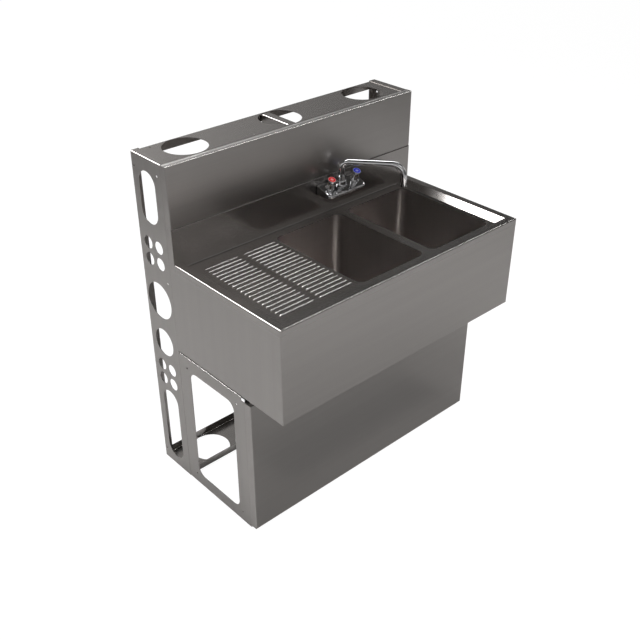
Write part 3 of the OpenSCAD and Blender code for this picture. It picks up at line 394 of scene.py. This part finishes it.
@dataclass(frozen=True)
class BrushedSteel:
    """Brushed or satin stainless sheet, with painted highlights on the crowns of its folds and ribs
    and along one line.
    """

    name: str
    tint: Colour
    roughness: float
    grain: Grain
    tone: float = 0.10
    relief: float = 0.000012
    mark_scale: float = 5.0
    mark_contrast: float = 0.25
    mark_share: float = 0.06
    # Crown tint: lighter than the sheet it paints a highlight on the crowns of folds and ribs,
    # darker it paints shade there; bend_reach and bend_left bound where.
    painted_crown_tint: Colour = (0.80, 0.78, 0.76)
    bend_roughness: float = 0.16
    bend_reach: float = FAR
    bend_left: float = -FAR
    # A painted highlight line lies along this Y plane, in its own tint and roughness.
    highlight_line_y: float = FAR
    highlight_line_tint: Colour = (0.62, 0.61, 0.60)
    highlight_line_roughness: float = 0.5
    upright_roughness: float = 0.26

    def material(self, effects: Effects) -> bpy.types.Material:
        """Makes the material.

        Args:
            effects: The shared node groups.

        Returns:
            The material.
        """
        shader = Shader(self.name)
        shader.set(Metallic=1.0)
        grain = shader.group(effects.grain, Stretch=self.grain.value)
        fine = shader.group(effects.shade, Colour=(*self.tint, 1.0), Amount=self.tone)
        shader.join(grain.outputs["Fine"], fine.inputs["Mask"])
        broad = shader.group(effects.shade, Amount=self.tone)
        shader.join(fine.outputs["Colour"], broad.inputs["Colour"])
        shader.join(grain.outputs["Broad"], broad.inputs["Mask"])
        marks = shader.group(effects.smudge, Scale=self.mark_scale, Contrast=self.mark_contrast)
        low, high = (self.roughness * (1 + side * self.mark_share) for side in (-1, 1))
        rough = shader.vary(marks.outputs["Mask"], low, high)
        lie = shader.group(
            effects.lie, Reach=self.bend_reach, Left=self.bend_left, Edge=self.highlight_line_y
        ).outputs
        # Painted highlight: the crown tint laid on the crowns of folds and ribs.
        tint = shader.blend("RGBA", lie["Bend"], broad.outputs["Colour"], (*self.painted_crown_tint, 1.0))
        rough = shader.blend("FLOAT", lie["Upright"], rough, self.upright_roughness)
        rough = shader.blend("FLOAT", lie["Bend"], rough, self.bend_roughness)
        # Painted highlight line along the given Y plane.
        if self.highlight_line_y < FAR:
            tint = shader.blend("RGBA", lie["Line"], tint, (*self.highlight_line_tint, 1.0))
            rough = shader.blend("FLOAT", lie["Line"], rough, self.highlight_line_roughness)
        shader.join(tint, shader.surface.inputs["Base Color"])
        shader.join(rough, shader.surface.inputs["Roughness"])
        shader.bump(grain.outputs["Fine"], self.relief)
        return shader.material


@dataclass(frozen=True)
class Plating:
    """Bright plated or polished metal."""

    name: str
    tint: Colour
    roughness: float
    tone: float = 0.06
    mark_scale: float = 30.0
    mark_contrast: float = 0.3
    mark_gain: float = 1.8

    def material(self, effects: Effects) -> bpy.types.Material:
        """Makes the material.

        Args:
            effects: The shared node groups.

        Returns:
            The material.
        """
        shader = Shader(self.name)
        shader.set(Metallic=1.0)
        marks = shader.group(effects.smudge, Scale=self.mark_scale, Contrast=self.mark_contrast)
        tone = shader.group(effects.shade, Colour=(*self.tint, 1.0), Amount=self.tone)
        shader.join(marks.outputs["Mask"], tone.inputs["Mask"])
        shader.join(tone.outputs["Colour"], shader.surface.inputs["Base Color"])
        rough = shader.vary(
            marks.outputs["Mask"], self.roughness, self.roughness * self.mark_gain
        )
        shader.join(rough, shader.surface.inputs["Roughness"])
        return shader.material


@dataclass(frozen=True)
class Moulding:
    """Plastic, rubber or foam: a plain body with a fine surface."""

    name: str
    tint: Colour
    roughness: float
    pore_scale: float = 900.0
    relief: float = 0.00003
    shine: float = 0.5
    tone: float = 0.15
    pore_contrast: float = 0.3
    pore_share: float = 0.1
    cloud_scale: float = 25.0
    cloud_contrast: float = 0.35

    def material(self, effects: Effects) -> bpy.types.Material:
        """Makes the material.

        Args:
            effects: The shared node groups.

        Returns:
            The material.
        """
        shader = Shader(self.name)
        shader.set(Specular_IOR_Level=self.shine)
        pores = shader.group(effects.smudge, Scale=self.pore_scale, Contrast=self.pore_contrast)
        cloud = shader.group(effects.smudge, Scale=self.cloud_scale, Contrast=self.cloud_contrast)
        tone = shader.group(effects.shade, Colour=(*self.tint, 1.0), Amount=self.tone)
        shader.join(cloud.outputs["Mask"], tone.inputs["Mask"])
        shader.join(tone.outputs["Colour"], shader.surface.inputs["Base Color"])
        low, high = (self.roughness * (1 + side * self.pore_share) for side in (-1, 1))
        rough = shader.vary(pores.outputs["Mask"], low, high)
        shader.join(rough, shader.surface.inputs["Roughness"])
        shader.bump(pores.outputs["Mask"], self.relief)
        return shader.material


Finish = BrushedSteel | Plating | Moulding


@dataclass(frozen=True)
class Finishes:
    """The finishes of the object, one for each kind of piece."""

    side_sheet: BrushedSteel = BrushedSteel(
        "side_sheet",
        STEEL,
        0.24,
        Grain.ALONG_Z,
        # Painted shade: a crown tint a little darker than the sheet dims the highlight on its
        # folds.
        painted_crown_tint=(0.34, 0.33, 0.32),
        bend_roughness=0.24,
        upright_roughness=0.32,
    )
    front_sheet: BrushedSteel = BrushedSteel(
        "front_sheet", STEEL, 0.30, Grain.ALONG_X, upright_roughness=0.30
    )
    splash_sheet: BrushedSteel = BrushedSteel(
        "splash_sheet",
        STEEL,
        0.30,
        Grain.ALONG_X,
        # Painted highlight on its folds, and a painted highlight line along Y 0.1548.
        painted_crown_tint=(0.95, 0.93, 0.91),
        bend_roughness=0.27,
        highlight_line_y=0.1548,
        upright_roughness=0.30,
    )
    # Painted highlight on its folds, from the default crown tint.
    top_sheet: BrushedSteel = BrushedSteel("top_sheet", STEEL, 0.23, Grain.ALONG_X)
    deck_sheet: BrushedSteel = BrushedSteel(
        "deck_sheet",
        STEEL,
        0.22,
        Grain.ALONG_X,
        # Painted highlight on the rib crowns and folds, only in front of Y 0.13 and right of X
        # -0.445.
        painted_crown_tint=(0.92, 0.90, 0.88),
        bend_roughness=0.155,
        bend_reach=0.13,
        bend_left=-0.445,
    )
    # Painted light: a lighter steel than the other sheets lifts the shade inside the bowls and the
    # ice bin liner.
    bowl_sheet_painted_light: BrushedSteel = BrushedSteel(
        "bowl_sheet_painted_light", (0.56, 0.532, 0.518), 0.30, Grain.ALONG_Z, upright_roughness=0.30
    )
    hidden_sheet: BrushedSteel = BrushedSteel(
        "hidden_sheet", (0.42, 0.42, 0.42), 0.50, Grain.ALONG_X
    )
    fastener: Plating = Plating("fastener", (0.50, 0.50, 0.50), 0.28)
    drain: Plating = Plating("drain", (0.55, 0.545, 0.535), 0.20)
    chrome: Plating = Plating("chrome", (0.66, 0.66, 0.67), 0.03)
    brass: Plating = Plating("brass", (0.62, 0.46, 0.20), 0.24)
    rubber: Moulding = Moulding("rubber", (0.025, 0.025, 0.025), 0.75)
    pale_plastic: Moulding = Moulding("pale_plastic", (0.60, 0.60, 0.57), 0.45)
    foam: Moulding = Moulding("foam", (0.72, 0.62, 0.36), 0.9, pore_scale=220.0, relief=0.0006)
    red: Moulding = Moulding("red_ring", (0.85, 0.02, 0.03), 0.5, shine=0.08)
    blue: Moulding = Moulding("blue_ring", (0.02, 0.03, 0.80), 0.5, shine=0.08)
    pale_red: Moulding = Moulding("pale_red_index", (0.98, 0.42, 0.40), 0.5, shine=0.08)
    pale_blue: Moulding = Moulding("pale_blue_index", (0.42, 0.48, 0.98), 0.5, shine=0.08)


class Workshop:
    """Holds the frame and the finished materials, and reports each piece."""

    def __init__(self, frame: dict, finishes: Finishes) -> None:
        """Keeps the frame and the finishes, and makes the shared effects.

        Args:
            finishes: The finishes of the object.
        """
        self.frame = frame
        self.finishes = finishes
        self.effects = Effects()
        self.made: dict[str, bpy.types.Material] = {}

    def paint(self, finish: Finish) -> bpy.types.Material:
        """Gives the material of a finish.

        Args:
            finish: One of the finishes.

        Returns:
            Its material, made on first use.
        """
        if finish.name not in self.made:
            self.made[finish.name] = finish.material(self.effects)
        return self.made[finish.name]

    def dress(self, node: str, finish: Finish, edge: float = 0.0) -> bpy.types.Object:
        """Gives a CAD node its material and, where asked for, soft edges.

        Args:
            node: Name of the CAD node.
            finish: Its finish.
            edge: Width of the soft edges in metres, or 0 for none.

        Returns:
            The node's object.
        """
        piece = self.frame["nodes"][node]
        piece.data.materials.clear()
        piece.data.materials.append(self.paint(finish))
        if edge > 0:
            soften(piece, edge)
        LOG.info("dressed %s with %s", node, finish.name)
        return piece

    def add(
        self, name: str, mesh: bpy.types.Mesh, finish: Finish, body: str, slot: str
    ) -> bpy.types.Object:
        """Adds a piece that rides on a body.

        Args:
            name: Name of the piece.
            mesh: Its mesh, in the frame of the object.
            finish: Its finish.
            body: The CAD body that carries it.
            slot: The record's material slot; not used.

        Returns:
            The new object.
        """
        piece = bpy.data.objects.new(name, mesh)
        bpy.context.scene.collection.objects.link(piece)
        mesh.materials.append(self.paint(finish))
        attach(piece, body)
        LOG.info("built %s on %s", name, body)
        return piece


def sharp_edges_ahead(plane: float) -> bpy.types.NodeTree:
    """Makes geometry nodes that mark the sharp edges in front of a plane for the bevel.

    Args:
        plane: The Y plane.

    Returns:
        The node tree.
    """
    tree = bpy.data.node_groups.new("sharp_edges_ahead", "GeometryNodeTree")
    for way in ("INPUT", "OUTPUT"):
        tree.interface.new_socket("Geometry", in_out=way, socket_type="NodeSocketGeometry")
    new, join = tree.nodes.new, tree.links.new
    into, out = new("NodeGroupInput"), new("NodeGroupOutput")
    fold = new("GeometryNodeInputMeshEdgeAngle")
    place, split = new("GeometryNodeInputPosition"), new("ShaderNodeSeparateXYZ")
    join(place.outputs[0], split.inputs[0])
    sharp = calculate(tree, "GREATER_THAN", fold.outputs["Unsigned Angle"], SHARP)
    ahead = calculate(tree, "LESS_THAN", split.outputs["Y"], plane)
    store = new("GeometryNodeStoreNamedAttribute")
    store.data_type = "FLOAT"
    store.domain = "EDGE"
    store.inputs["Name"].default_value = "bevel_weight_edge"
    join(into.outputs[0], store.inputs["Geometry"])
    join(calculate(tree, "MULTIPLY", sharp, ahead), store.inputs["Value"])
    join(store.outputs["Geometry"], out.inputs[0])
    return tree


def soften(
    piece: bpy.types.Object, width: float, segments: int = 2, ahead: float | None = None
) -> None:
    """Rounds the sharp edges of a piece.

    Args:
        piece: The object.
        width: Width of the rounding in metres.
        segments: Number of faces across it.
        ahead: Y plane, or None. With a plane only the edges in front of it are rounded, at
            the full width, and without one all are, narrowed where an edge is short.
    """
    joined = piece.modifiers.new("joined_corners", "WELD")
    joined.merge_threshold = JOINED
    flat = piece.modifiers.new("flat_faces", "DECIMATE")
    flat.decimate_type = "DISSOLVE"
    flat.angle_limit = FLAT
    if ahead is not None:
        marks = piece.modifiers.new("marked_edges", "NODES")
        marks.node_group = sharp_edges_ahead(ahead)
    bevel = piece.modifiers.new("soft_edges", "BEVEL")
    bevel.width = width
    bevel.segments = segments
    bevel.limit_method = "ANGLE" if ahead is None else "WEIGHT"
    bevel.angle_limit = SHARP
    bevel.use_clamp_overlap = ahead is None
    bevel.harden_normals = False
    normals = piece.modifiers.new("even_shading", "WEIGHTED_NORMAL")
    normals.keep_sharp = True


def lathe(
    name: str, profile: list[tuple[float, float]], foot: Vector, axis: Vector, steps: int = 64
) -> bpy.types.Mesh:
    """Turns a profile round an axis.

    Args:
        name: Name of the mesh.
        profile: Radius and height of each point in metres, none of them on the axis.
        foot: Point on the axis at height 0.
        axis: Direction of the axis.
        steps: Number of faces round it.

    Returns:
        The mesh, smooth shaded apart from sharp corners.
    """
    form = bmesh.new()
    turn = [2 * math.pi * i / steps for i in range(steps)]
    rings = [
        [form.verts.new((radius * math.cos(a), radius * math.sin(a), height)) for a in turn]
        for radius, height in profile
    ]
    for low, high in zip(rings, rings[1:]):
        for i in range(steps):
            j = (i + 1) % steps
            form.faces.new((low[i], low[j], high[j], high[i]))
    bmesh.ops.recalc_face_normals(form, faces=form.faces)
    turned = axis.to_track_quat("Z", "Y").to_matrix().to_4x4()
    form.transform(Matrix.Translation(foot) @ turned)
    mesh = bpy.data.meshes.new(name)
    form.to_mesh(mesh)
    form.free()
    mesh.shade_smooth()
    mesh.set_sharp_from_angle(angle=SMOOTH)
    return mesh


@dataclass
class Chase:
    """The open pipe chase at the back."""

    shop: Workshop
    sides: tuple[str, ...] = ("chase_side_left", "chase_side_right", "chase_divider")

    def build(self) -> None:
        """Dresses the panels, plates and the front skin."""
        finishes = self.shop.finishes
        for node in self.sides:
            self.shop.dress(node, finishes.side_sheet)
        for node in ("chase_top_plate", "chase_bottom_plate"):
            self.shop.dress(node, finishes.top_sheet)
        self.shop.dress("chase_front_skin", finishes.splash_sheet)


@dataclass
class Base:
    """The base under the sink top, with the bolts of the frame."""

    shop: Workshop
    bolt_edge: float = 0.0003
    pad_edge: float = 0.0005

    def build(self) -> None:
        """Dresses the panels, rails, bolts, nuts and pads."""
        finishes = self.shop.finishes
        for node in ("base_side_left", "base_side_right"):
            self.shop.dress(node, finishes.side_sheet)
        self.shop.dress("base_front_skin", finishes.front_sheet)
        for node in ("base_rail_front_top", "base_rail_front_bottom", "base_rail_rear_top"):
            self.shop.dress(node, finishes.hidden_sheet)
        self.shop.dress("frame_bolts", finishes.fastener, self.bolt_edge)
        self.shop.dress("frame_nuts", finishes.fastener, self.bolt_edge)
        self.shop.dress("seat_pads", finishes.rubber, self.pad_edge)


@dataclass
class SinkTop:
    """Deck, aprons and the two bowls."""

    shop: Workshop

    def build(self) -> None:
        """Dresses the sheets, the bowls and the ice bin's insulation."""
        finishes = self.shop.finishes
        self.shop.dress("deck_pan", finishes.deck_sheet)
        self.shop.dress("apron_front", finishes.front_sheet)
        for node in ("apron_left", "apron_right"):
            self.shop.dress(node, finishes.side_sheet)
        for node in ("sink_bowl", "ice_bin_liner"):
            self.shop.dress(node, finishes.bowl_sheet_painted_light)
        self.shop.dress("ice_bin_foam", finishes.foam)
        self.shop.dress("ice_bin_casing", finishes.hidden_sheet)


@dataclass
class Drains:
    """The drains of both bowls."""

    shop: Workshop
    nut_edge: float = 0.0006

    def build(self) -> None:
        """Dresses the drains, their nuts, gaskets and the strainer."""
        finishes = self.shop.finishes
        for node in ("sink_drain_body", "strainer_basket", "ice_drain_body", "sink_tailpiece"):
            self.shop.dress(node, finishes.drain)
        for node in ("sink_drain_nut", "tailpiece_nut", "ice_drain_nut"):
            self.shop.dress(node, finishes.pale_plastic, self.nut_edge)
        for node in ("sink_drain_gasket", "ice_drain_gasket"):
            self.shop.dress(node, finishes.rubber)


@dataclass
class Faucet:
    """The splash mounted faucet, its body rounded in front of the splash alone."""

    shop: Workshop
    edge: float = 0.0045
    edge_faces: int = 4
    edge_reach: float = 0.1369
    spout_nut_edge: float = 0.0006
    bonnet_edge: float = 0.0004
    shank_nut_edge: float = 0.0004
    ring_share: tuple[float, float] = (0.40, 0.84)
    ring_rise: float = 0.00015
    ring_crown: float = 1.6
    ring_root: float = 3.0

    def _valve_axis(self, side: str) -> tuple[Vector, Vector]:
        """Finds where a handle turns.

        Args:
            side: hot or cold.

        Returns:
            A point on the axis and the axis itself.
        """
        joint = next(j for j in self.shop.frame["joints"] if j["name"] == f"{side}_turn")
        return Vector(joint["pos_m"]), Vector(joint["axis"]).normalized()

    def _index_ring(self, side: str, finish: Moulding) -> None:
        """Lays a coloured ring on an index button.

        Args:
            side: hot or cold.
            finish: The ring's finish.
        """
        point, axis = self._valve_axis(side)
        button = self.shop.frame["nodes"][f"{side}_index"].data
        offsets = [vertex.co - point for vertex in button.vertices]
        top = max(offset.dot(axis) for offset in offsets)
        radius = max((offset - axis * offset.dot(axis)).length for offset in offsets)
        low, high = (share * radius for share in self.ring_share)
        rise = self.ring_rise
        profile = [
            (low, -rise),
            (low, rise),
            ((low + high) / 2, rise * self.ring_crown),
            (high, rise),
            (high, -rise * self.ring_root),
        ]
        name = f"{side}_index_ring"
        mesh = lathe(name, profile, point + axis * top, axis)
        slot = {"hot": "index_red", "cold": "index_blue"}[side]
        self.shop.add(name, mesh, finish, f"{side}_valve", slot)

    def build(self) -> None:
        """Dresses the body, spout and handles and adds the index rings."""
        finishes = self.shop.finishes
        body = self.shop.dress("faucet_body", finishes.chrome)
        soften(body, self.edge, self.edge_faces, self.edge_reach)
        self.shop.dress("spout", finishes.chrome)
        self.shop.dress("spout_nut", finishes.chrome, self.spout_nut_edge)
        self.shop.dress("valve_bonnets", finishes.chrome, self.bonnet_edge)
        self.shop.dress("spout_seal", finishes.rubber)
        self.shop.dress("faucet_gasket", finishes.rubber)
        self.shop.dress("faucet_washers", finishes.fastener)
        self.shop.dress("faucet_nuts", finishes.brass, self.shank_nut_edge)
        self.shop.dress("outlet_insert", finishes.pale_plastic)
        for side, index, ring in (
            ("hot", finishes.pale_red, finishes.red),
            ("cold", finishes.pale_blue, finishes.blue),
        ):
            self.shop.dress(f"{side}_handle", finishes.chrome)
            self.shop.dress(f"{side}_index", index)
            self.shop.dress(f"{side}_stem", finishes.brass)
            self.shop.dress(f"{side}_handle_screw", finishes.fastener)
            self._index_ring(side, ring)


@dataclass(frozen=True)
class Panel:
    """A panel of the studio that only reflections see."""

    name: str
    centre: tuple[float, float, float]
    facing: tuple[float, float, float]
    size: tuple[float, float]
    level: float


@dataclass(frozen=True)
class Softbox:
    """A lamp, with its direction from the sink.

    Without mirrored no reflection shows it, and without lights_floor it lights nothing matt.
    """

    name: str
    direction: tuple[float, float, float]
    distance: float
    size: tuple[float, float]
    watts: float
    mirrored: bool = True
    lights_floor: bool = True


@dataclass
class Studio:
    """White surroundings, a grey board overhead, panels, softboxes and the camera."""

    floor_half: float = 30.0
    floor_drop: float = 0.0005
    board_half: float = 12.0
    board_height: float = 2.9
    board_tint: Colour = (1.0, 0.985, 0.97)
    board_rear: tuple[float, float] = (1.6, 4.2)
    board_level: tuple[float, float] = (0.0, 0.48)
    board_front: tuple[float, float] = (-0.6, -1.8)
    board_front_level: tuple[float, float] = (0.02, 0.30)
    board_right: tuple[float, float] = (2.4, 4.4)
    board_fade: tuple[float, float] = (1.0, 0.45)
    panels: tuple[Panel, ...] = (
        Panel("overhead_strip", (0.6, 0.27, 2.0), (0.0, 0.0, -1.0), (3.0, 0.22), 5.2),
        Panel("front_card", (1.1, -2.5, 2.7), (0.0, 0.0, -1.0), (1.8, 1.4), 0.9),
        Panel("floor_shade", (0.10, -0.36, 0.002), (0.0, 0.0, 1.0), (0.70, 0.20), 0.28),
        Panel("front_flag", (3.0, -4.3, 0.9), (-0.57, 0.82, 0.0), (9.0, 2.2), 0.12),
    )
    floor_paint: float = 0.104
    floor_glow: float = 0.97
    floor_mirrored: float = 0.73
    world_level: float = 0.63
    lamp_aim: tuple[float, float, float] = (0.0, 0.0, 0.75)
    softboxes: tuple[Softbox, ...] = (
        Softbox(
            "left_rear_softbox",
            (-0.263, 0.614, 0.745),
            2.28,
            (1.3, 1.4),
            90.0,
            lights_floor=False,
        ),
        Softbox(
            "left_rear_fill", (-0.263, 0.614, 0.745), 2.28, (1.3, 1.4), 71.0, mirrored=False
        ),
        Softbox("front_fill", (0.30, -0.75, 0.60), 3.2, (2.0, 2.0), 60.0, mirrored=False),
    )
    focal: float = 49.97
    sensor: float = 36.0
    sight: float = 200.0
    camera_place: Vector = field(default_factory=lambda: Vector((-1.5786, -1.6717, 1.9069)))
    camera_aim: Vector = field(default_factory=lambda: Vector((0.5700, 0.6256, -0.5326)))

    @staticmethod
    def _seen(tree: bpy.types.NodeTree) -> bpy.types.NodeSocket:
        """Makes a switch that is 1 for rays of the camera, of reflections and of glass.

        Args:
            tree: Node tree that gets the switch.

        Returns:
            The switch's socket.
        """
        path = tree.nodes.new("ShaderNodeLightPath").outputs
        total = path["Is Camera Ray"]
        for ray in ("Is Glossy Ray", "Is Transmission Ray"):
            total = calculate(tree, "MAXIMUM", total, path[ray])
        return total

    @staticmethod
    def _rectangle(name: str, wide: float, deep: float, height: float = 0.0) -> bpy.types.Object:
        """Makes a level rectangle.

        Args:
            name: Name of the rectangle.
            wide: Half of its width.
            deep: Half of its depth.
            height: Its height.

        Returns:
            The object.
        """
        signs = ((-1, -1), (1, -1), (1, 1), (-1, 1))
        mesh = bpy.data.meshes.new(name)
        mesh.from_pydata([(x * wide, y * deep, height) for x, y in signs], [], [(0, 1, 2, 3)])
        piece = bpy.data.objects.new(name, mesh)
        bpy.context.scene.collection.objects.link(piece)
        return piece

    def _floor(self) -> None:
        """Lays the white floor, which takes the object's shadow.

        The camera sees it as near white with a light shadow, and the steel mirrors it as a
        lit floor with the whole shadow.
        """
        plane = self._rectangle("floor", self.floor_half, self.floor_half, -self.floor_drop)
        shader = Shader("studio_floor")
        pale = shader.add("ShaderNodeBsdfDiffuse")
        pale.inputs["Color"].default_value = (self.floor_paint,) * 3 + (1.0,)
        glow = shader.add("ShaderNodeEmission")
        glow.inputs["Strength"].default_value = self.floor_glow
        both = shader.add("ShaderNodeAddShader")
        shader.join(pale.outputs[0], both.inputs[0])
        shader.join(glow.outputs[0], both.inputs[1])
        lit = shader.add("ShaderNodeBsdfDiffuse")
        lit.inputs["Color"].default_value = (self.floor_mirrored,) * 3 + (1.0,)
        choice = shader.add("ShaderNodeMixShader")
        path = shader.add("ShaderNodeLightPath")
        shader.join(path.outputs["Is Camera Ray"], choice.inputs["Fac"])
        shader.join(lit.outputs[0], choice.inputs[1])
        shader.join(both.outputs[0], choice.inputs[2])
        shader.replace(choice.outputs[0])
        plane.data.materials.append(shader.material)

    def _board(self) -> None:
        """Hangs the board that the level sheets reflect.

        It is dark overhead and lighter towards the front and the rear. Its rear part darkens
        again towards the right.
        """
        plane = self._rectangle(
            "overhead_board", self.board_half, self.board_half, self.board_height
        )
        shader = Shader("overhead_grey")
        glow = shader.add("ShaderNodeEmission")
        glow.inputs["Color"].default_value = (*self.board_tint, 1.0)
        place = shader.add("ShaderNodeTexCoord")
        split = shader.add("ShaderNodeSeparateXYZ")
        shader.join(place.outputs["Object"], split.inputs[0])
        right, back = split.outputs["X"], split.outputs["Y"]
        rear = ramp(shader.tree, back, self.board_rear, self.board_level)
        fade = ramp(shader.tree, right, self.board_right, self.board_fade)
        front = ramp(shader.tree, back, self.board_front, self.board_front_level)
        level = calculate(shader.tree, "MULTIPLY_ADD", rear, fade, front)
        shader.join(level, glow.inputs["Strength"])
        shader.replace(glow.outputs[0])
        plane.data.materials.append(shader.material)
        plane.visible_camera = False
        plane.visible_shadow = False

    def _panel(self, panel: Panel) -> None:
        """Hangs a panel.

        Args:
            panel: Its place, size and brightness.
        """
        wide, deep = (side / 2 for side in panel.size)
        piece = self._rectangle(panel.name, wide, deep)
        piece.location = panel.centre
        piece.rotation_mode = "QUATERNION"
        piece.rotation_quaternion = Vector(panel.facing).to_track_quat("Z", "Y")
        shader = Shader(panel.name)
        glow = shader.add("ShaderNodeEmission")
        glow.inputs["Strength"].default_value = panel.level
        shader.replace(glow.outputs[0])
        piece.data.materials.append(shader.material)
        piece.visible_camera = False
        piece.visible_shadow = False
        piece.visible_diffuse = False

    def _softbox(self, softbox: Softbox) -> None:
        """Hangs a softbox that faces the sink.

        Args:
            softbox: Its place, size and power.
        """
        lamp = bpy.data.lights.new(softbox.name, "AREA")
        lamp.shape = "RECTANGLE"
        lamp.size, lamp.size_y = softbox.size
        lamp.energy = softbox.watts
        box = bpy.data.objects.new(softbox.name, lamp)
        bpy.context.scene.collection.objects.link(box)
        direction = Vector(softbox.direction).normalized()
        box.location = Vector(self.lamp_aim) + direction * softbox.distance
        box.rotation_mode = "QUATERNION"
        box.rotation_quaternion = direction.to_track_quat("Z", "Y")
        box.visible_camera = False
        box.visible_glossy = softbox.mirrored
        box.visible_diffuse = softbox.lights_floor

    def _world(self) -> None:
        """Makes the surroundings white to the eye and plain for lighting."""
        world = bpy.data.worlds.new("surroundings")
        world.use_nodes = True
        bpy.context.scene.world = world
        tree = world.node_tree
        sky = tree.nodes["Background"]
        sky.inputs["Color"].default_value = (1.0, 1.0, 1.0, 1.0)
        level = tree.nodes.new("ShaderNodeMapRange")
        level.inputs["To Min"].default_value = self.world_level
        level.inputs["To Max"].default_value = 1.0
        tree.links.new(self._seen(tree), level.inputs["Value"])
        tree.links.new(level.outputs["Result"], sky.inputs["Strength"])

    def _camera(self) -> None:
        """Places the camera at the photograph's point of view."""
        camera = bpy.data.cameras.new("camera")
        camera.sensor_width = self.sensor
        camera.lens = self.focal
        camera.clip_end = self.sight
        eye = bpy.data.objects.new("camera", camera)
        bpy.context.scene.collection.objects.link(eye)
        eye.location = self.camera_place
        eye.rotation_mode = "QUATERNION"
        eye.rotation_quaternion = (-self.camera_aim).to_track_quat("Z", "Y")
        bpy.context.scene.camera = eye

    def build(self) -> None:
        """Sets up floor, board, panels, softboxes, world and camera."""
        self._floor()
        self._board()
        for panel in self.panels:
            self._panel(panel)
        for softbox in self.softboxes:
            self._softbox(softbox)
        self._world()
        self._camera()
        bpy.context.scene.view_settings.view_transform = "Standard"
        LOG.info("set up the studio")


def main() -> None:
    """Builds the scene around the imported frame."""
    logging.basicConfig(level=logging.INFO, format="%(name)s: %(message)s")
    for thing in list(bpy.data.objects):
        bpy.data.objects.remove(thing)
    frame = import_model()
    shop = Workshop(frame, Finishes())
    for part in (Chase(shop), Base(shop), SinkTop(shop), Drains(shop), Faucet(shop), Studio()):
        part.build()


if __name__ == "__main__":
    main()
